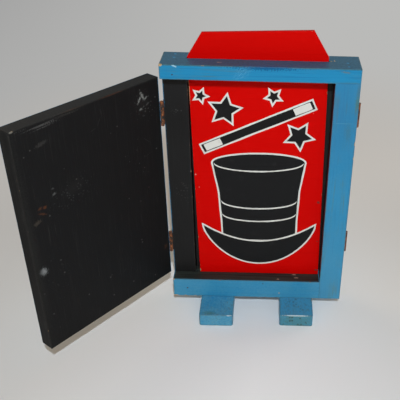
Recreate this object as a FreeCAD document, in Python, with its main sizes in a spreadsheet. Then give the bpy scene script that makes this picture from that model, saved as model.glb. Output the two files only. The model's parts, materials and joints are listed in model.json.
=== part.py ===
"""Painted wooden picture cabinet with two hinged doors and a loose panel.

The frame stands on the floor: +X is to the right seen from the front, -Y is the
front, +Z is up, and the origin is on the floor midway between the two feet.
All lengths are in millimetres and all angles in degrees.
"""
import FreeCAD, Part
import math
import os
import Sketcher

from FreeCAD import Vector

# Driving sizes: name, value, meaning.
SIZES = (
    ("box_width", 153, "outside width of the box"),
    ("box_height", 221, "underside of the bottom board to the top face"),
    ("side_thick", 19.5, "thickness of the two side boards"),
    ("top_thick", 11.5, "thickness of the top board"),
    ("base_thick", 19, "thickness of the bottom board"),
    ("board_arris", 0.5, "rounding of the painted board edges"),
    ("foot_width", 30, "width of a foot, left to right"),
    ("foot_length", 79, "length of a foot, front to back"),
    ("foot_height", 12, "height of a foot"),
    ("foot_inset", 25.5, "side of the box to the outer edge of a foot"),
    ("foot_corner", 2, "rounding of a foot's upright corners"),
    ("foot_arris", 0.4, "rounding of a foot's level edges"),
    ("left_foot_lead", 2, "distance that the left foot stands ahead of the right one"),
    ("front_door_thick", 12, "thickness of the front door"),
    ("rear_door_thick", 10, "thickness of the rear door"),
    ("door_gap", 0.5, "gap below and beside a closed door"),
    ("door_top_gap", 2.3, "gap above a closed door"),
    ("door_back_gap", 0.2, "gap between a closed door and the board that it shuts on"),
    ("door_arris", 0.5, "rounding of the door edges"),
    ("front_door_angle", 127.5, "opening angle of the front door as it stands"),
    ("panel_space", 6.6, "depth of the space between the two doors"),
    ("panel_slack", 5, "sideways slack of the loose panel between the side boards"),
    ("panel_thick", 3, "thickness of the loose panel"),
    ("panel_arris", 0.4, "rounding of the panel's edges"),
    ("head_height", 20.5, "height of the panel's tapered head"),
    ("head_inset", 12, "narrowing of the head at each side"),
    ("head_fall", 1.8, "fall of the head's top edge at its left end"),
    ("shoulder_rise", 2, "height of the panel's shoulders above the top face"),
    ("panel_left_gap", 0.3, "gap between the tilted panel and the left side, at the slot"),
    ("panel_right_gap", 0.9, "gap between the tilted panel and the right side, at the groove"),
    ("panel_front_gap", 0.4, "depth of the panel behind the front door's seat, at the groove"),
    ("panel_back_gap", 0.3, "depth of the panel before the rear door's seat, at the slot"),
    ("slot_end_gap", 0.5, "gap between the panel and an end of the slot"),
    ("slot_face_gap", 0.4, "gap between the panel and a long wall of the slot"),
    ("groove_depth", 2.6, "depth of the groove in the bottom board"),
    ("groove_face_gap", 0.4, "gap between the panel and a wall of the groove"),
    ("rest_gap", 0.1, "gap between the panel's lowest corner and the groove"),
    ("hinge_length", 20.5, "length of a hinge"),
    ("hinge_inset", 33.5, "end of the door opening to the middle of a hinge"),
    ("front_barrel_radius", 1.4, "outer radius of a front hinge's knuckles"),
    ("rear_barrel_radius", 1.9, "outer radius of a rear hinge's knuckles"),
    ("barrel_gap", 0.2, "gap between a knuckle and the wood or the other leaf's plate"),
    ("knuckle_gap", 0.15, "gap between neighbouring knuckles"),
    ("leaf_thick", 0.8, "thickness of a hinge leaf"),
    ("leaf_reach", 8, "hinge axis to the outer edge of a leaf"),
    ("leaf_corner", 0.8, "rounding of a leaf's corners"),
    ("leaf_screw_line", 5, "hinge axis to the line of screws in a leaf"),
    ("leaf_screw_pitch", 12, "distance between the two screws of a leaf"),
    ("pin_radius", 0.6, "radius of a hinge pin"),
    ("pin_gap", 0.05, "running gap between a pin and its knuckles"),
    ("pin_head_radius", 1, "radius of a pin's riveted ends"),
    ("pin_head_thick", 0.5, "thickness of a pin's riveted ends"),
    ("hinge_screw_radius", 0.9, "shank radius of a hinge screw"),
    ("hinge_screw_sink", 0.65, "depth of a hinge screw's countersunk head"),
    ("hinge_screw_length", 8, "length of a hinge screw"),
    ("foot_screw_radius", 1.6, "shank radius of a foot screw"),
    ("foot_screw_sink", 1.6, "depth of a foot screw's countersunk head"),
    ("foot_screw_length", 26, "length of a foot screw"),
    ("foot_screw_set", 0.3, "depth of a foot screw's head above the floor"),
    ("foot_screw_pitch", 16, "distance between the two screws of a foot"),
    ("drive_slot_width", 0.5, "width of the driving slot in a screw head"),
    ("drive_slot_depth", 0.4, "depth of the driving slot in a screw head"),
    ("nail_radius", 0.7, "shank radius of a brad"),
    ("nail_head", 1.1, "head radius of a brad"),
    ("nail_head_depth", 1, "height of a brad's head"),
    ("nail_set", 0.1, "depth of a brad's head below the surface"),
    ("nail_length", 34, "length of a brad"),
    ("nail_pitch", 8, "distance between the two brads of a joint"),
    ("fastener_gap", 0.05, "gap between a fastener and its hole"),
    ("point_gap", 0.6, "space beyond a fastener's point in a blind hole"),
)

# Places worked out from the driving sizes: name and formula.
LAYOUT = (
    ("left", "-Sizes.box_width / 2"),
    ("right", "Sizes.box_width / 2"),
    ("inner_left", "left + Sizes.side_thick"),
    ("inner_right", "right - Sizes.side_thick"),
    ("doors_thick", "Sizes.front_door_thick + Sizes.rear_door_thick"),
    ("box_depth", "doors_thick + 2 * Sizes.door_back_gap + Sizes.panel_space"),
    ("front", "-box_depth / 2"),
    ("back", "box_depth / 2"),
    ("front_seat", "front + Sizes.front_door_thick + Sizes.door_back_gap"),
    ("rear_seat", "back - Sizes.rear_door_thick - Sizes.door_back_gap"),
    ("foot_x", "right - Sizes.foot_inset - Sizes.foot_width / 2"),
    ("base_top", "Sizes.foot_height + Sizes.base_thick"),
    ("top_face", "Sizes.foot_height + Sizes.box_height"),
    ("top_under", "top_face - Sizes.top_thick"),
    ("opening_height", "top_under - base_top"),
    ("door_width", "Sizes.box_width - Sizes.side_thick - Sizes.door_gap"),
    ("door_height", "opening_height - Sizes.door_gap - Sizes.door_top_gap"),
    ("door_bottom", "base_top + Sizes.door_gap"),
    ("front_stand_off", "Sizes.front_barrel_radius + Sizes.barrel_gap"),
    ("front_leaf_face", "front_stand_off - Sizes.leaf_thick"),
    ("front_axis_x", "left - front_stand_off"),
    ("front_axis_y", "front_seat - Sizes.door_back_gap / 2"),
    ("rear_stand_off", "Sizes.rear_barrel_radius + Sizes.barrel_gap"),
    ("rear_leaf_face", "rear_stand_off - Sizes.leaf_thick"),
    ("rear_axis_x", "right + rear_stand_off"),
    ("rear_axis_y", "rear_seat + Sizes.door_back_gap / 2"),
    ("lower_hinge", "base_top + Sizes.hinge_inset"),
    ("upper_hinge", "top_under - Sizes.hinge_inset"),
    ("panel_width", "inner_right - inner_left - Sizes.panel_slack"),
    ("slot_x", "inner_left + Sizes.panel_left_gap + panel_width / 2"),
    ("slot_y", "rear_seat - Sizes.panel_back_gap - Sizes.panel_thick / 2"),
    ("slot_middle", "top_face - Sizes.top_thick / 2"),
    ("slot_half_length", "panel_width / 2 + Sizes.slot_end_gap"),
    ("slot_half_width", "Sizes.panel_thick / 2 + Sizes.slot_face_gap"),
    ("groove_floor", "base_top - Sizes.groove_depth"),
    ("groove_half_width", "Sizes.panel_thick / 2 + Sizes.groove_face_gap"),
    ("groove_y", "front_seat + Sizes.panel_front_gap + Sizes.panel_thick / 2"),
    ("groove_middle", "base_top - Sizes.groove_depth / 2"),
    ("panel_lean", "atan((slot_y - groove_y) / (slot_middle - groove_middle))"),
    ("panel_fall", "(slot_middle - groove_floor - Sizes.rest_gap) / cos(panel_lean)"),
    ("panel_shift", "Sizes.panel_slack - Sizes.panel_left_gap - Sizes.panel_right_gap"),
    ("panel_tilt", "asin(panel_shift / panel_fall)"),
    ("corner_drop", "panel_width / 2 * sin(panel_tilt)"),
    ("panel_drop", "(panel_fall - corner_drop) / cos(panel_tilt)"),
    ("panel_rise", "Sizes.top_thick / 2 + Sizes.shoulder_rise"),
    ("left_joint_x", "left + Sizes.side_thick / 2"),
    ("left_joint_y", "(front_seat + back) / 2"),
    ("right_joint_x", "right - Sizes.side_thick / 2"),
    ("right_joint_y", "(front + rear_seat) / 2"),
    ("base_joint_z", "Sizes.foot_height + Sizes.base_thick / 2"),
    ("nail_hole", "Sizes.nail_radius + Sizes.fastener_gap"),
    ("nail_recess", "Sizes.nail_head + Sizes.fastener_gap"),
    ("nail_recess_depth", "Sizes.nail_head_depth + Sizes.nail_set"),
    ("nail_end", "Sizes.nail_set + Sizes.nail_length + Sizes.point_gap"),
    ("hinge_screw_head", "Sizes.hinge_screw_radius + Sizes.hinge_screw_sink"),
    ("hinge_screw_hole", "Sizes.hinge_screw_radius + Sizes.fastener_gap"),
    ("hinge_screw_end", "Sizes.hinge_screw_length - Sizes.leaf_thick + Sizes.point_gap"),
    ("foot_screw_head", "Sizes.foot_screw_radius + Sizes.foot_screw_sink"),
    ("foot_screw_hole", "Sizes.foot_screw_radius + Sizes.fastener_gap"),
    ("foot_screw_reach", "Sizes.foot_screw_set + Sizes.foot_screw_length + Sizes.point_gap"),
    ("foot_screw_end", "foot_screw_reach - Sizes.foot_height"),
)

# Knuckles of a hinge, counted from its lower end: the door leaf carries the outer ones.
KNUCKLES = 5
DOOR_KNUCKLES = (0, 2, 4)
BOX_KNUCKLES = (1, 3)

# Part of a fastener's length that is its point, and the turn from one driving slot to the next.
POINT_SHARE = 0.2
SLOT_TURN = 50

# Turns of a piece that is drawn upright.
FACING_UP = "rotation(vector(0; 0; 1); 0)"
FACING_DOWN = "rotation(vector(1; 0; 0); 180)"
FACING_RIGHT = "rotation(vector(0; 1; 0); 90)"
FACING_LEFT = "rotation(vector(0; 1; 0); -90)"

TOLERANCE = 1e-4


def make_sheet(doc, name, rows):
    """Return a sheet with one aliased cell for each (alias, content, note) row."""
    sheet = doc.addObject("Spreadsheet::Sheet", name)
    for number, (alias, content, note) in enumerate(rows, start=1):
        sheet.set(f"A{number}", note)
        sheet.set(f"B{number}", content)
        sheet.setAlias(f"B{number}", alias)
    doc.recompute()
    return sheet


def new_body(doc, label, placement=None):
    """Return an empty body, with its placement bound to a formula if one is given."""
    body = doc.addObject("PartDesign::Body", label)
    body.Label = label
    if placement:
        body.setExpression("Placement", placement)
    return body


def new_sketch(body, name, role, offset="0"):
    """Return a sketch on one of the body's origin planes, moved along its normal."""
    sketch = body.newObject("Sketcher::SketchObject", name)
    plane = next(item for item in body.Origin.OriginFeatures if item.Role == role)
    sketch.AttachmentSupport = (plane, [""])
    sketch.MapMode = "FlatFace"
    sketch.setExpression("AttachmentOffset.Base.z", offset)
    return sketch


def hold_point(sketch, geometry, point, x, y):
    """Bind a point's distances from the sketch origin to two formulas."""
    start = sketch.getPoint(geometry, point)
    for kind, value, formula in (("DistanceX", start.x, x), ("DistanceY", start.y, y)):
        index = sketch.addConstraint(Sketcher.Constraint(kind, -1, 1, geometry, point, value))
        sketch.setExpression(f"Constraints[{index}]", formula)


def add_polygon(sketch, corners):
    """Draw a closed outline whose corners are pairs of formulas."""
    count = len(corners)
    first = sketch.GeometryCount
    turn = 2 * math.pi / count
    # A regular outline stands in until the bound distances move its corners.
    points = [Vector(math.cos(turn * i), math.sin(turn * i), 0) for i in range(count)]
    for i in range(count):
        sketch.addGeometry(Part.LineSegment(points[i], points[(i + 1) % count]), False)
    for i in range(count):
        following = first + (i + 1) % count
        sketch.addConstraint(Sketcher.Constraint("Coincident", first + i, 2, following, 1))
    for i, (x, y) in enumerate(corners):
        hold_point(sketch, first + i, 1, x, y)


def add_rectangle(sketch, low_x, low_y, high_x, high_y):
    """Draw a rectangle between two corners given as formulas."""
    add_polygon(sketch, ((low_x, low_y), (high_x, low_y), (high_x, high_y), (low_x, high_y)))


def add_circle(sketch, x, y, radius):
    """Draw a circle with its middle and radius given as formulas."""
    geometry = sketch.addGeometry(Part.Circle(Vector(1, 1, 0), Vector(0, 0, 1), 1), False)
    hold_point(sketch, geometry, 3, x, y)
    index = sketch.addConstraint(Sketcher.Constraint("Radius", geometry, 1))
    sketch.setExpression(f"Constraints[{index}]", radius)


def add_pad(body, sketch, length, side_type="One side"):
    """Raise a sketch into a solid."""
    pad = body.newObject("PartDesign::Pad", f"{sketch.Name}_pad")
    pad.Profile = sketch
    pad.setExpression("Length", length)
    pad.SideType = side_type
    body.Document.recompute()
    return pad


def add_pocket(body, sketch, depth=None, reverse=False, side_type="One side"):
    """Cut a sketch into the body, right through when no depth is given."""
    before = body.Shape.Volume
    pocket = body.newObject("PartDesign::Pocket", f"{sketch.Name}_pocket")
    pocket.Profile = sketch
    pocket.SideType = side_type
    pocket.Reversed = reverse
    if depth:
        pocket.setExpression("Length", depth)
    else:
        pocket.Type = "ThroughAll"
    body.Document.recompute()
    if body.Shape.Volume > before - TOLERANCE:
        raise RuntimeError(f"{sketch.Name} of {body.Label} cuts nothing")
    return pocket


def drill(body, name, role, offset, middles, radius, depth=None, reverse=False):
    """Sink round holes of one size at the given middles."""
    sketch = new_sketch(body, name, role, offset)
    for x, y in middles:
        add_circle(sketch, x, y, radius)
    return add_pocket(body, sketch, depth, reverse)


def add_revolution(body, sketch):
    """Turn a sketch about its own upright axis."""
    turned = body.newObject("PartDesign::Revolution", f"{sketch.Name}_turned")
    turned.Profile = sketch
    turned.ReferenceAxis = (sketch, ["V_Axis"])
    turned.Angle = 360
    body.Document.recompute()
    return turned


def dress_edges(body, kind, name, size, chosen):
    """Add a Fillet or Chamfer to the edges of the body that a test picks."""
    tip = body.Tip
    picked = [f"Edge{i}" for i, edge in enumerate(tip.Shape.Edges, start=1) if chosen(edge)]
    dressed = body.newObject(f"PartDesign::{kind}", name)
    dressed.Base = (tip, picked)
    dressed.setExpression("Radius" if kind == "Fillet" else "Size", size)
    body.Document.recompute()
    return dressed


def near(first, second):
    """Say whether two lengths are the same."""
    return abs(first - second) < TOLERANCE


def lies_at(edge, axis, value):
    """Say whether a whole edge lies at one coordinate, with axis one of x, y, z."""
    low = getattr(edge.BoundBox, f"{axis.upper()}Min")
    high = getattr(edge.BoundBox, f"{axis.upper()}Max")
    return near(low, value) and near(high, value)


def runs_along(edge, axis):
    """Say whether a straight edge runs along one axis, x, y or z."""
    length = getattr(edge.BoundBox, f"{axis.upper()}Length")
    return near(length, edge.BoundBox.DiagonalLength)


def pair_along_y(x, y):
    """Return the middles of a joint's two brads, apart along Y."""
    half = "Sizes.nail_pitch / 2"
    return ((x, f"{y} - {half}"), (x, f"{y} + {half}"))


LEFT_JOINT = pair_along_y("Layout.left_joint_x", "Layout.left_joint_y")
RIGHT_JOINT = pair_along_y("Layout.right_joint_x", "Layout.right_joint_y")
BASE_JOINT = (
    ("-Sizes.nail_pitch / 2", "Layout.base_joint_z"),
    ("Sizes.nail_pitch / 2", "Layout.base_joint_z"),
)
FOOT_SCREWS = [
    (f"{x_sign} Layout.foot_x", f"{y_sign} Sizes.foot_screw_pitch / 2")
    for x_sign in "-+"
    for y_sign in "-+"
]


def leaf_screw_middles(y, heights):
    """Return the middles of the screws of the leaves at the given heights."""
    half = "Sizes.leaf_screw_pitch / 2"
    return [(y, f"{height} {sign} {half}") for height in heights for sign in "-+"]


HINGE_HEIGHTS = ("Layout.lower_hinge", "Layout.upper_hinge")


def make_top_board(doc, layout):
    """Top board: slot for the panel, brads down into the side boards."""
    body = new_body(doc, "top_board")
    outline = new_sketch(body, "top_outline", "XY_Plane", "Layout.top_under")
    add_rectangle(outline, "Layout.left", "Layout.front", "Layout.right", "Layout.back")
    add_pad(body, outline, "Sizes.top_thick")

    def exposed(edge):
        return runs_along(edge, "z") or lies_at(edge, "z", layout.top_face)

    dress_edges(body, "Fillet", "top_arrises", "Sizes.board_arris", exposed)
    slot = new_sketch(body, "panel_slot", "XY_Plane", "Layout.top_face")
    add_rectangle(
        slot,
        "Layout.slot_x - Layout.slot_half_length",
        "Layout.slot_y - Layout.slot_half_width",
        "Layout.slot_x + Layout.slot_half_length",
        "Layout.slot_y + Layout.slot_half_width",
    )
    add_pocket(body, slot)
    middles = LEFT_JOINT + RIGHT_JOINT
    drill(body, "top_nail_holes", "XY_Plane", "Layout.top_face", middles, "Layout.nail_hole")
    drill(
        body,
        "top_nail_recesses",
        "XY_Plane",
        "Layout.top_face",
        middles,
        "Layout.nail_recess",
        "Layout.nail_recess_depth",
    )
    return body


def make_bottom_board(doc, sizes, layout):
    """Bottom board: groove for the panel, holes for brads and foot screws."""
    body = new_body(doc, "bottom_board")
    outline = new_sketch(body, "base_outline", "XY_Plane", "Sizes.foot_height")
    add_rectangle(outline, "Layout.left", "Layout.front", "Layout.inner_right", "Layout.back")
    add_pad(body, outline, "Sizes.base_thick")

    def exposed(edge):
        if lies_at(edge, "x", layout.inner_right):
            return False
        return lies_at(edge, "z", sizes.foot_height) or runs_along(edge, "z")

    dress_edges(body, "Fillet", "base_arrises", "Sizes.board_arris", exposed)
    groove = new_sketch(body, "panel_groove", "XY_Plane", "Layout.base_top")
    add_rectangle(
        groove,
        "Layout.inner_left",
        "Layout.groove_y - Layout.groove_half_width",
        "Layout.inner_right",
        "Layout.groove_y + Layout.groove_half_width",
    )
    add_pocket(body, groove, "Sizes.groove_depth")
    underside = "Sizes.foot_height"
    drill(body, "left_nail_holes", "XY_Plane", underside, LEFT_JOINT, "Layout.nail_hole", reverse=True)
    drill(
        body,
        "left_nail_recesses",
        "XY_Plane",
        underside,
        LEFT_JOINT,
        "Layout.nail_recess",
        "Layout.nail_recess_depth",
        reverse=True,
    )
    drill(
        body,
        "end_nail_holes",
        "YZ_Plane",
        "Layout.inner_right",
        BASE_JOINT,
        "Layout.nail_hole",
        "Layout.nail_end - Sizes.side_thick",
    )
    drill(
        body,
        "foot_screw_holes",
        "XY_Plane",
        underside,
        FOOT_SCREWS,
        "Layout.foot_screw_hole",
        "Layout.foot_screw_end",
        reverse=True,
    )
    return body


def make_left_side(doc):
    """Left side board: its front edge is the seat of the front door."""
    body = new_body(doc, "left_side")
    outline = new_sketch(body, "left_outline", "XY_Plane", "Layout.base_top")
    add_rectangle(outline, "Layout.left", "Layout.front_seat", "Layout.inner_left", "Layout.back")
    add_pad(body, outline, "Layout.opening_height")
    dress_edges(body, "Fillet", "left_arrises", "Sizes.board_arris", lambda edge: runs_along(edge, "z"))
    drill(
        body,
        "left_top_nails",
        "XY_Plane",
        "Layout.top_under",
        LEFT_JOINT,
        "Layout.nail_hole",
        "Layout.nail_end - Sizes.top_thick",
    )
    drill(
        body,
        "left_base_nails",
        "XY_Plane",
        "Layout.base_top",
        LEFT_JOINT,
        "Layout.nail_hole",
        "Layout.nail_end - Sizes.base_thick",
        reverse=True,
    )
    drill(
        body,
        "left_hinge_screws",
        "YZ_Plane",
        "Layout.left",
        leaf_screw_middles("Layout.front_axis_y + Sizes.leaf_screw_line", HINGE_HEIGHTS),
        "Layout.hinge_screw_hole",
        "Layout.hinge_screw_end",
        reverse=True,
    )
    return body


def make_right_side(doc, sizes, layout):
    """Right side board: a stopped rebate along its rear edge takes the rear door."""
    body = new_body(doc, "right_side")
    outline = new_sketch(body, "right_outline", "XY_Plane", "Sizes.foot_height")
    add_rectangle(outline, "Layout.inner_right", "Layout.front", "Layout.right", "Layout.back")
    add_pad(body, outline, "Sizes.base_thick + Layout.opening_height")
    rebate = new_sketch(body, "door_rebate", "XY_Plane", "Layout.top_under")
    add_rectangle(rebate, "Layout.inner_right", "Layout.rear_seat", "Layout.right", "Layout.back")
    add_pocket(body, rebate, "Layout.opening_height")

    def exposed(edge):
        if lies_at(edge, "x", layout.inner_right) and lies_at(edge, "y", layout.back):
            return False
        outer_foot = lies_at(edge, "z", sizes.foot_height) and not lies_at(edge, "x", layout.inner_right)
        return runs_along(edge, "z") or outer_foot

    dress_edges(body, "Fillet", "right_arrises", "Sizes.board_arris", exposed)
    drill(
        body,
        "right_top_nails",
        "XY_Plane",
        "Layout.top_under",
        RIGHT_JOINT,
        "Layout.nail_hole",
        "Layout.nail_end - Sizes.top_thick",
    )
    drill(body, "right_nail_holes", "YZ_Plane", "Layout.right", BASE_JOINT, "Layout.nail_hole")
    drill(
        body,
        "right_nail_recesses",
        "YZ_Plane",
        "Layout.right",
        BASE_JOINT,
        "Layout.nail_recess",
        "Layout.nail_recess_depth",
    )
    drill(
        body,
        "right_hinge_screws",
        "YZ_Plane",
        "Layout.right",
        leaf_screw_middles("Layout.rear_axis_y - Sizes.leaf_screw_line", HINGE_HEIGHTS),
        "Layout.hinge_screw_hole",
        "Layout.hinge_screw_end",
    )
    return body


def make_foot(doc, label, sign, lead, sizes):
    """Foot: a bar that runs from front to back, set forward by lead and screwed on from below."""
    place = f"vector({sign} * Layout.foot_x; 0; 0)"
    body = new_body(doc, label, f"placement({place}; {FACING_UP})")
    outline = new_sketch(body, f"{label}_outline", "XY_Plane")
    add_rectangle(
        outline,
        "-Sizes.foot_width / 2",
        f"-Sizes.foot_length / 2 - {lead}",
        "Sizes.foot_width / 2",
        f"Sizes.foot_length / 2 - {lead}",
    )
    add_pad(body, outline, "Sizes.foot_height")
    dress_edges(body, "Fillet", f"{label}_corners", "Sizes.foot_corner", lambda edge: runs_along(edge, "z"))

    def level(edge):
        return lies_at(edge, "z", 0) or lies_at(edge, "z", sizes.foot_height)

    dress_edges(body, "Fillet", f"{label}_arrises", "Sizes.foot_arris", level)
    middles = [("0", f"{y_sign} Sizes.foot_screw_pitch / 2") for y_sign in "-+"]
    drill(body, f"{label}_screw_holes", "XY_Plane", "0", middles, "Layout.foot_screw_hole", reverse=True)

    def hole_mouth(edge):
        return lies_at(edge, "z", 0) and isinstance(edge.Curve, Part.Circle) and edge.isClosed()

    countersink = "Sizes.foot_screw_sink + Sizes.foot_screw_set"
    dress_edges(body, "Chamfer", f"{label}_countersinks", countersink, hole_mouth)
    return body


def make_door(doc, name, placement):
    """Door: drawn shut, with its hinge axis as the body's own upright axis."""
    label = f"{name}_door"
    hung_edge = f"Layout.{name}_stand_off"
    body = new_body(doc, label, placement)
    outline = new_sketch(body, f"{label}_outline", "XY_Plane", "Layout.door_bottom")
    add_rectangle(
        outline,
        hung_edge,
        f"-Sizes.door_back_gap / 2 - Sizes.{name}_door_thick",
        f"{hung_edge} + Layout.door_width",
        "-Sizes.door_back_gap / 2",
    )
    add_pad(body, outline, "Layout.door_height")
    dress_edges(body, "Fillet", f"{label}_arrises", "Sizes.door_arris", lambda edge: True)
    drill(
        body,
        f"{label}_screw_holes",
        "YZ_Plane",
        hung_edge,
        leaf_screw_middles("-Sizes.leaf_screw_line", HINGE_HEIGHTS),
        "Layout.hinge_screw_hole",
        "Layout.hinge_screw_end",
        reverse=True,
    )
    return body


def make_panel(doc):
    """Loose panel: it leans in its slot, with its lower left corner in the groove."""
    stand = "vector(Layout.slot_x; Layout.slot_y; Layout.slot_middle)"
    turn = "rotation(vector(1; 0; 0); -Layout.panel_lean) * rotation(vector(0; 1; 0); -Layout.panel_tilt)"
    body = new_body(doc, "picture_panel", f"placement({stand}; {turn})")
    outline = new_sketch(body, "panel_outline", "XZ_Plane")
    half = "Layout.panel_width / 2"
    head_half = f"({half} - Sizes.head_inset)"
    head_top = "Layout.panel_rise + Sizes.head_height"
    add_polygon(
        outline,
        (
            (f"-{half}", "-Layout.panel_drop"),
            (half, "-Layout.panel_drop"),
            (half, "Layout.panel_rise"),
            (head_half, head_top),
            (f"-{head_half}", f"{head_top} - Sizes.head_fall"),
            (f"-{half}", "Layout.panel_rise"),
        ),
    )
    add_pad(body, outline, "Sizes.panel_thick", "Symmetric")
    dress_edges(body, "Fillet", "panel_arrises", "Sizes.panel_arris", lambda edge: not runs_along(edge, "y"))
    return body


def make_leaf(doc, name, label, side, other_knuckles, placement, sizes, layout):
    """Leaf of a hinge of the named door: side is 1 for the box leaf and -1 for the door leaf.

    The plate and a whole barrel are raised first. Windows for the other leaf's
    knuckles are then cut, so that the two leaves interleave on one pin.
    """
    face, radius = f"Layout.{name}_leaf_face", f"Sizes.{name}_barrel_radius"
    body = new_body(doc, label, placement)
    plate = new_sketch(body, f"{label}_plate", "XY_Plane")
    add_rectangle(plate, face, "0", f"Layout.{name}_stand_off", f"{side} * Sizes.leaf_reach")
    add_pad(body, plate, "Sizes.hinge_length", "Symmetric")

    def outer_corner(edge):
        return runs_along(edge, "x") and lies_at(edge, "y", side * sizes.leaf_reach)

    dress_edges(body, "Fillet", f"{label}_corners", "Sizes.leaf_corner", outer_corner)
    barrel = new_sketch(body, f"{label}_barrel", "XY_Plane")
    add_circle(barrel, "0", "0", radius)
    add_pad(body, barrel, "Sizes.hinge_length", "Symmetric")
    windows = new_sketch(body, f"{label}_windows", "YZ_Plane")
    clear = f"({radius} + Sizes.barrel_gap)"
    for number in other_knuckles:
        low = f"({number} / {KNUCKLES} - 0.5) * Sizes.hinge_length - Sizes.knuckle_gap / 2"
        high = f"({number + 1} / {KNUCKLES} - 0.5) * Sizes.hinge_length + Sizes.knuckle_gap / 2"
        add_rectangle(windows, f"-{clear}", low, clear, high)
    add_pocket(body, windows, side_type="Symmetric")
    bore = new_sketch(body, f"{label}_bore", "XY_Plane")
    add_circle(bore, "0", "0", "Sizes.pin_radius + Sizes.pin_gap")
    add_pocket(body, bore, side_type="Symmetric")
    middles = leaf_screw_middles(f"{side} * Sizes.leaf_screw_line", ("0",))
    drill(
        body,
        f"{label}_screw_holes",
        "YZ_Plane",
        face,
        middles,
        "Layout.hinge_screw_hole",
        reverse=True,
    )

    def hole_mouth(edge):
        return lies_at(edge, "x", getattr(layout, f"{name}_leaf_face")) and edge.isClosed()

    dress_edges(body, "Chamfer", f"{label}_countersinks", "Sizes.hinge_screw_sink", hole_mouth)
    return body


def make_pin(doc, label, placement):
    """Hinge pin: a rod with both ends riveted over."""
    body = new_body(doc, label, placement)
    profile = new_sketch(body, f"{label}_profile", "XZ_Plane")
    shoulder = "(Sizes.hinge_length / 2 + Sizes.knuckle_gap)"
    end = f"({shoulder} + Sizes.pin_head_thick)"
    add_polygon(
        profile,
        (
            ("0", f"-{end}"),
            ("Sizes.pin_radius", f"-{end}"),
            ("Sizes.pin_head_radius", f"-{shoulder}"),
            ("Sizes.pin_radius", f"-{shoulder}"),
            ("Sizes.pin_radius", shoulder),
            ("Sizes.pin_head_radius", shoulder),
            ("Sizes.pin_radius", end),
            ("0", end),
        ),
    )
    add_revolution(body, profile)
    return body


def make_screw_blank(doc, label):
    """Countersunk slotted screw: head up, its face at the body's origin."""
    body = new_body(doc, f"{label}_blank")
    profile = new_sketch(body, f"{label}_profile", "XZ_Plane")
    radius, sink, length = (f"Sizes.{label}_{name}" for name in ("radius", "sink", "length"))
    head = f"Layout.{label}_head"
    add_polygon(
        profile,
        (
            ("0", "0"),
            (head, "0"),
            (radius, f"-{sink}"),
            (radius, f"-{length} * {1 - POINT_SHARE}"),
            ("0", f"-{length}"),
        ),
    )
    add_revolution(body, profile)
    slot = new_sketch(body, f"{label}_slot", "XY_Plane")
    half = "Sizes.drive_slot_width / 2"
    add_rectangle(slot, f"-{head}", f"-{half}", head, half)
    add_pocket(body, slot, "Sizes.drive_slot_depth")
    return body


def make_nail_blank(doc):
    """Brad: small deep head up, its face at the body's origin."""
    body = new_body(doc, "nail_blank")
    profile = new_sketch(body, "nail_profile", "XZ_Plane")
    add_polygon(
        profile,
        (
            ("0", "0"),
            ("Sizes.nail_head", "0"),
            ("Sizes.nail_head", "-Sizes.nail_head_depth"),
            ("Sizes.nail_radius", "-Sizes.nail_head_depth"),
            ("Sizes.nail_radius", f"-Sizes.nail_length * {1 - POINT_SHARE / 2}"),
            ("0", "-Sizes.nail_length"),
        ),
    )
    add_revolution(body, profile)
    return body


def make_group(doc, label, blank, places, placement=None):
    """Set copies of one fastener at the given (head, facing) formulas, as one node."""
    copies = []
    for number, (head, facing) in enumerate(places):
        copy = doc.addObject("App::Link", f"{label}_copy")
        copy.setLink(blank)
        spin = f"rotation(vector(0; 0; 1); {SLOT_TURN * number})"
        copy.setExpression("Placement", f"placement({head}; {facing} * {spin})")
        copies.append(copy)
    group = doc.addObject("Part::Compound", label)
    group.Label = label
    group.Links = copies
    if placement:
        group.setExpression("Placement", placement)
    return group


def hinge_screw_places(name, side):
    """Return the places of the four screws in one side's leaves, about the named door's hinge axis."""
    middles = leaf_screw_middles(f"{side} * Sizes.leaf_screw_line", HINGE_HEIGHTS)
    return [(f"vector(Layout.{name}_leaf_face; {y}; {z})", FACING_LEFT) for y, z in middles]


def top_nail_places():
    """Return the places of the brads that go down through the top board."""
    face = "Layout.top_face - Sizes.nail_set"
    return [(f"vector({x}; {y}; {face})", FACING_UP) for x, y in LEFT_JOINT + RIGHT_JOINT]


def base_nail_places():
    """Return the places of the brads that hold the bottom board to the sides."""
    face = "Sizes.foot_height + Sizes.nail_set"
    end = "Layout.right - Sizes.nail_set"
    below = [(f"vector({x}; {y}; {face})", FACING_DOWN) for x, y in LEFT_JOINT]
    return below + [(f"vector({end}; {y}; {z})", FACING_RIGHT) for y, z in BASE_JOINT]


def foot_screw_places():
    """Return the places of the screws under the two feet."""
    return [(f"vector({x}; {y}; Sizes.foot_screw_set)", FACING_DOWN) for x, y in FOOT_SCREWS]


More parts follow.
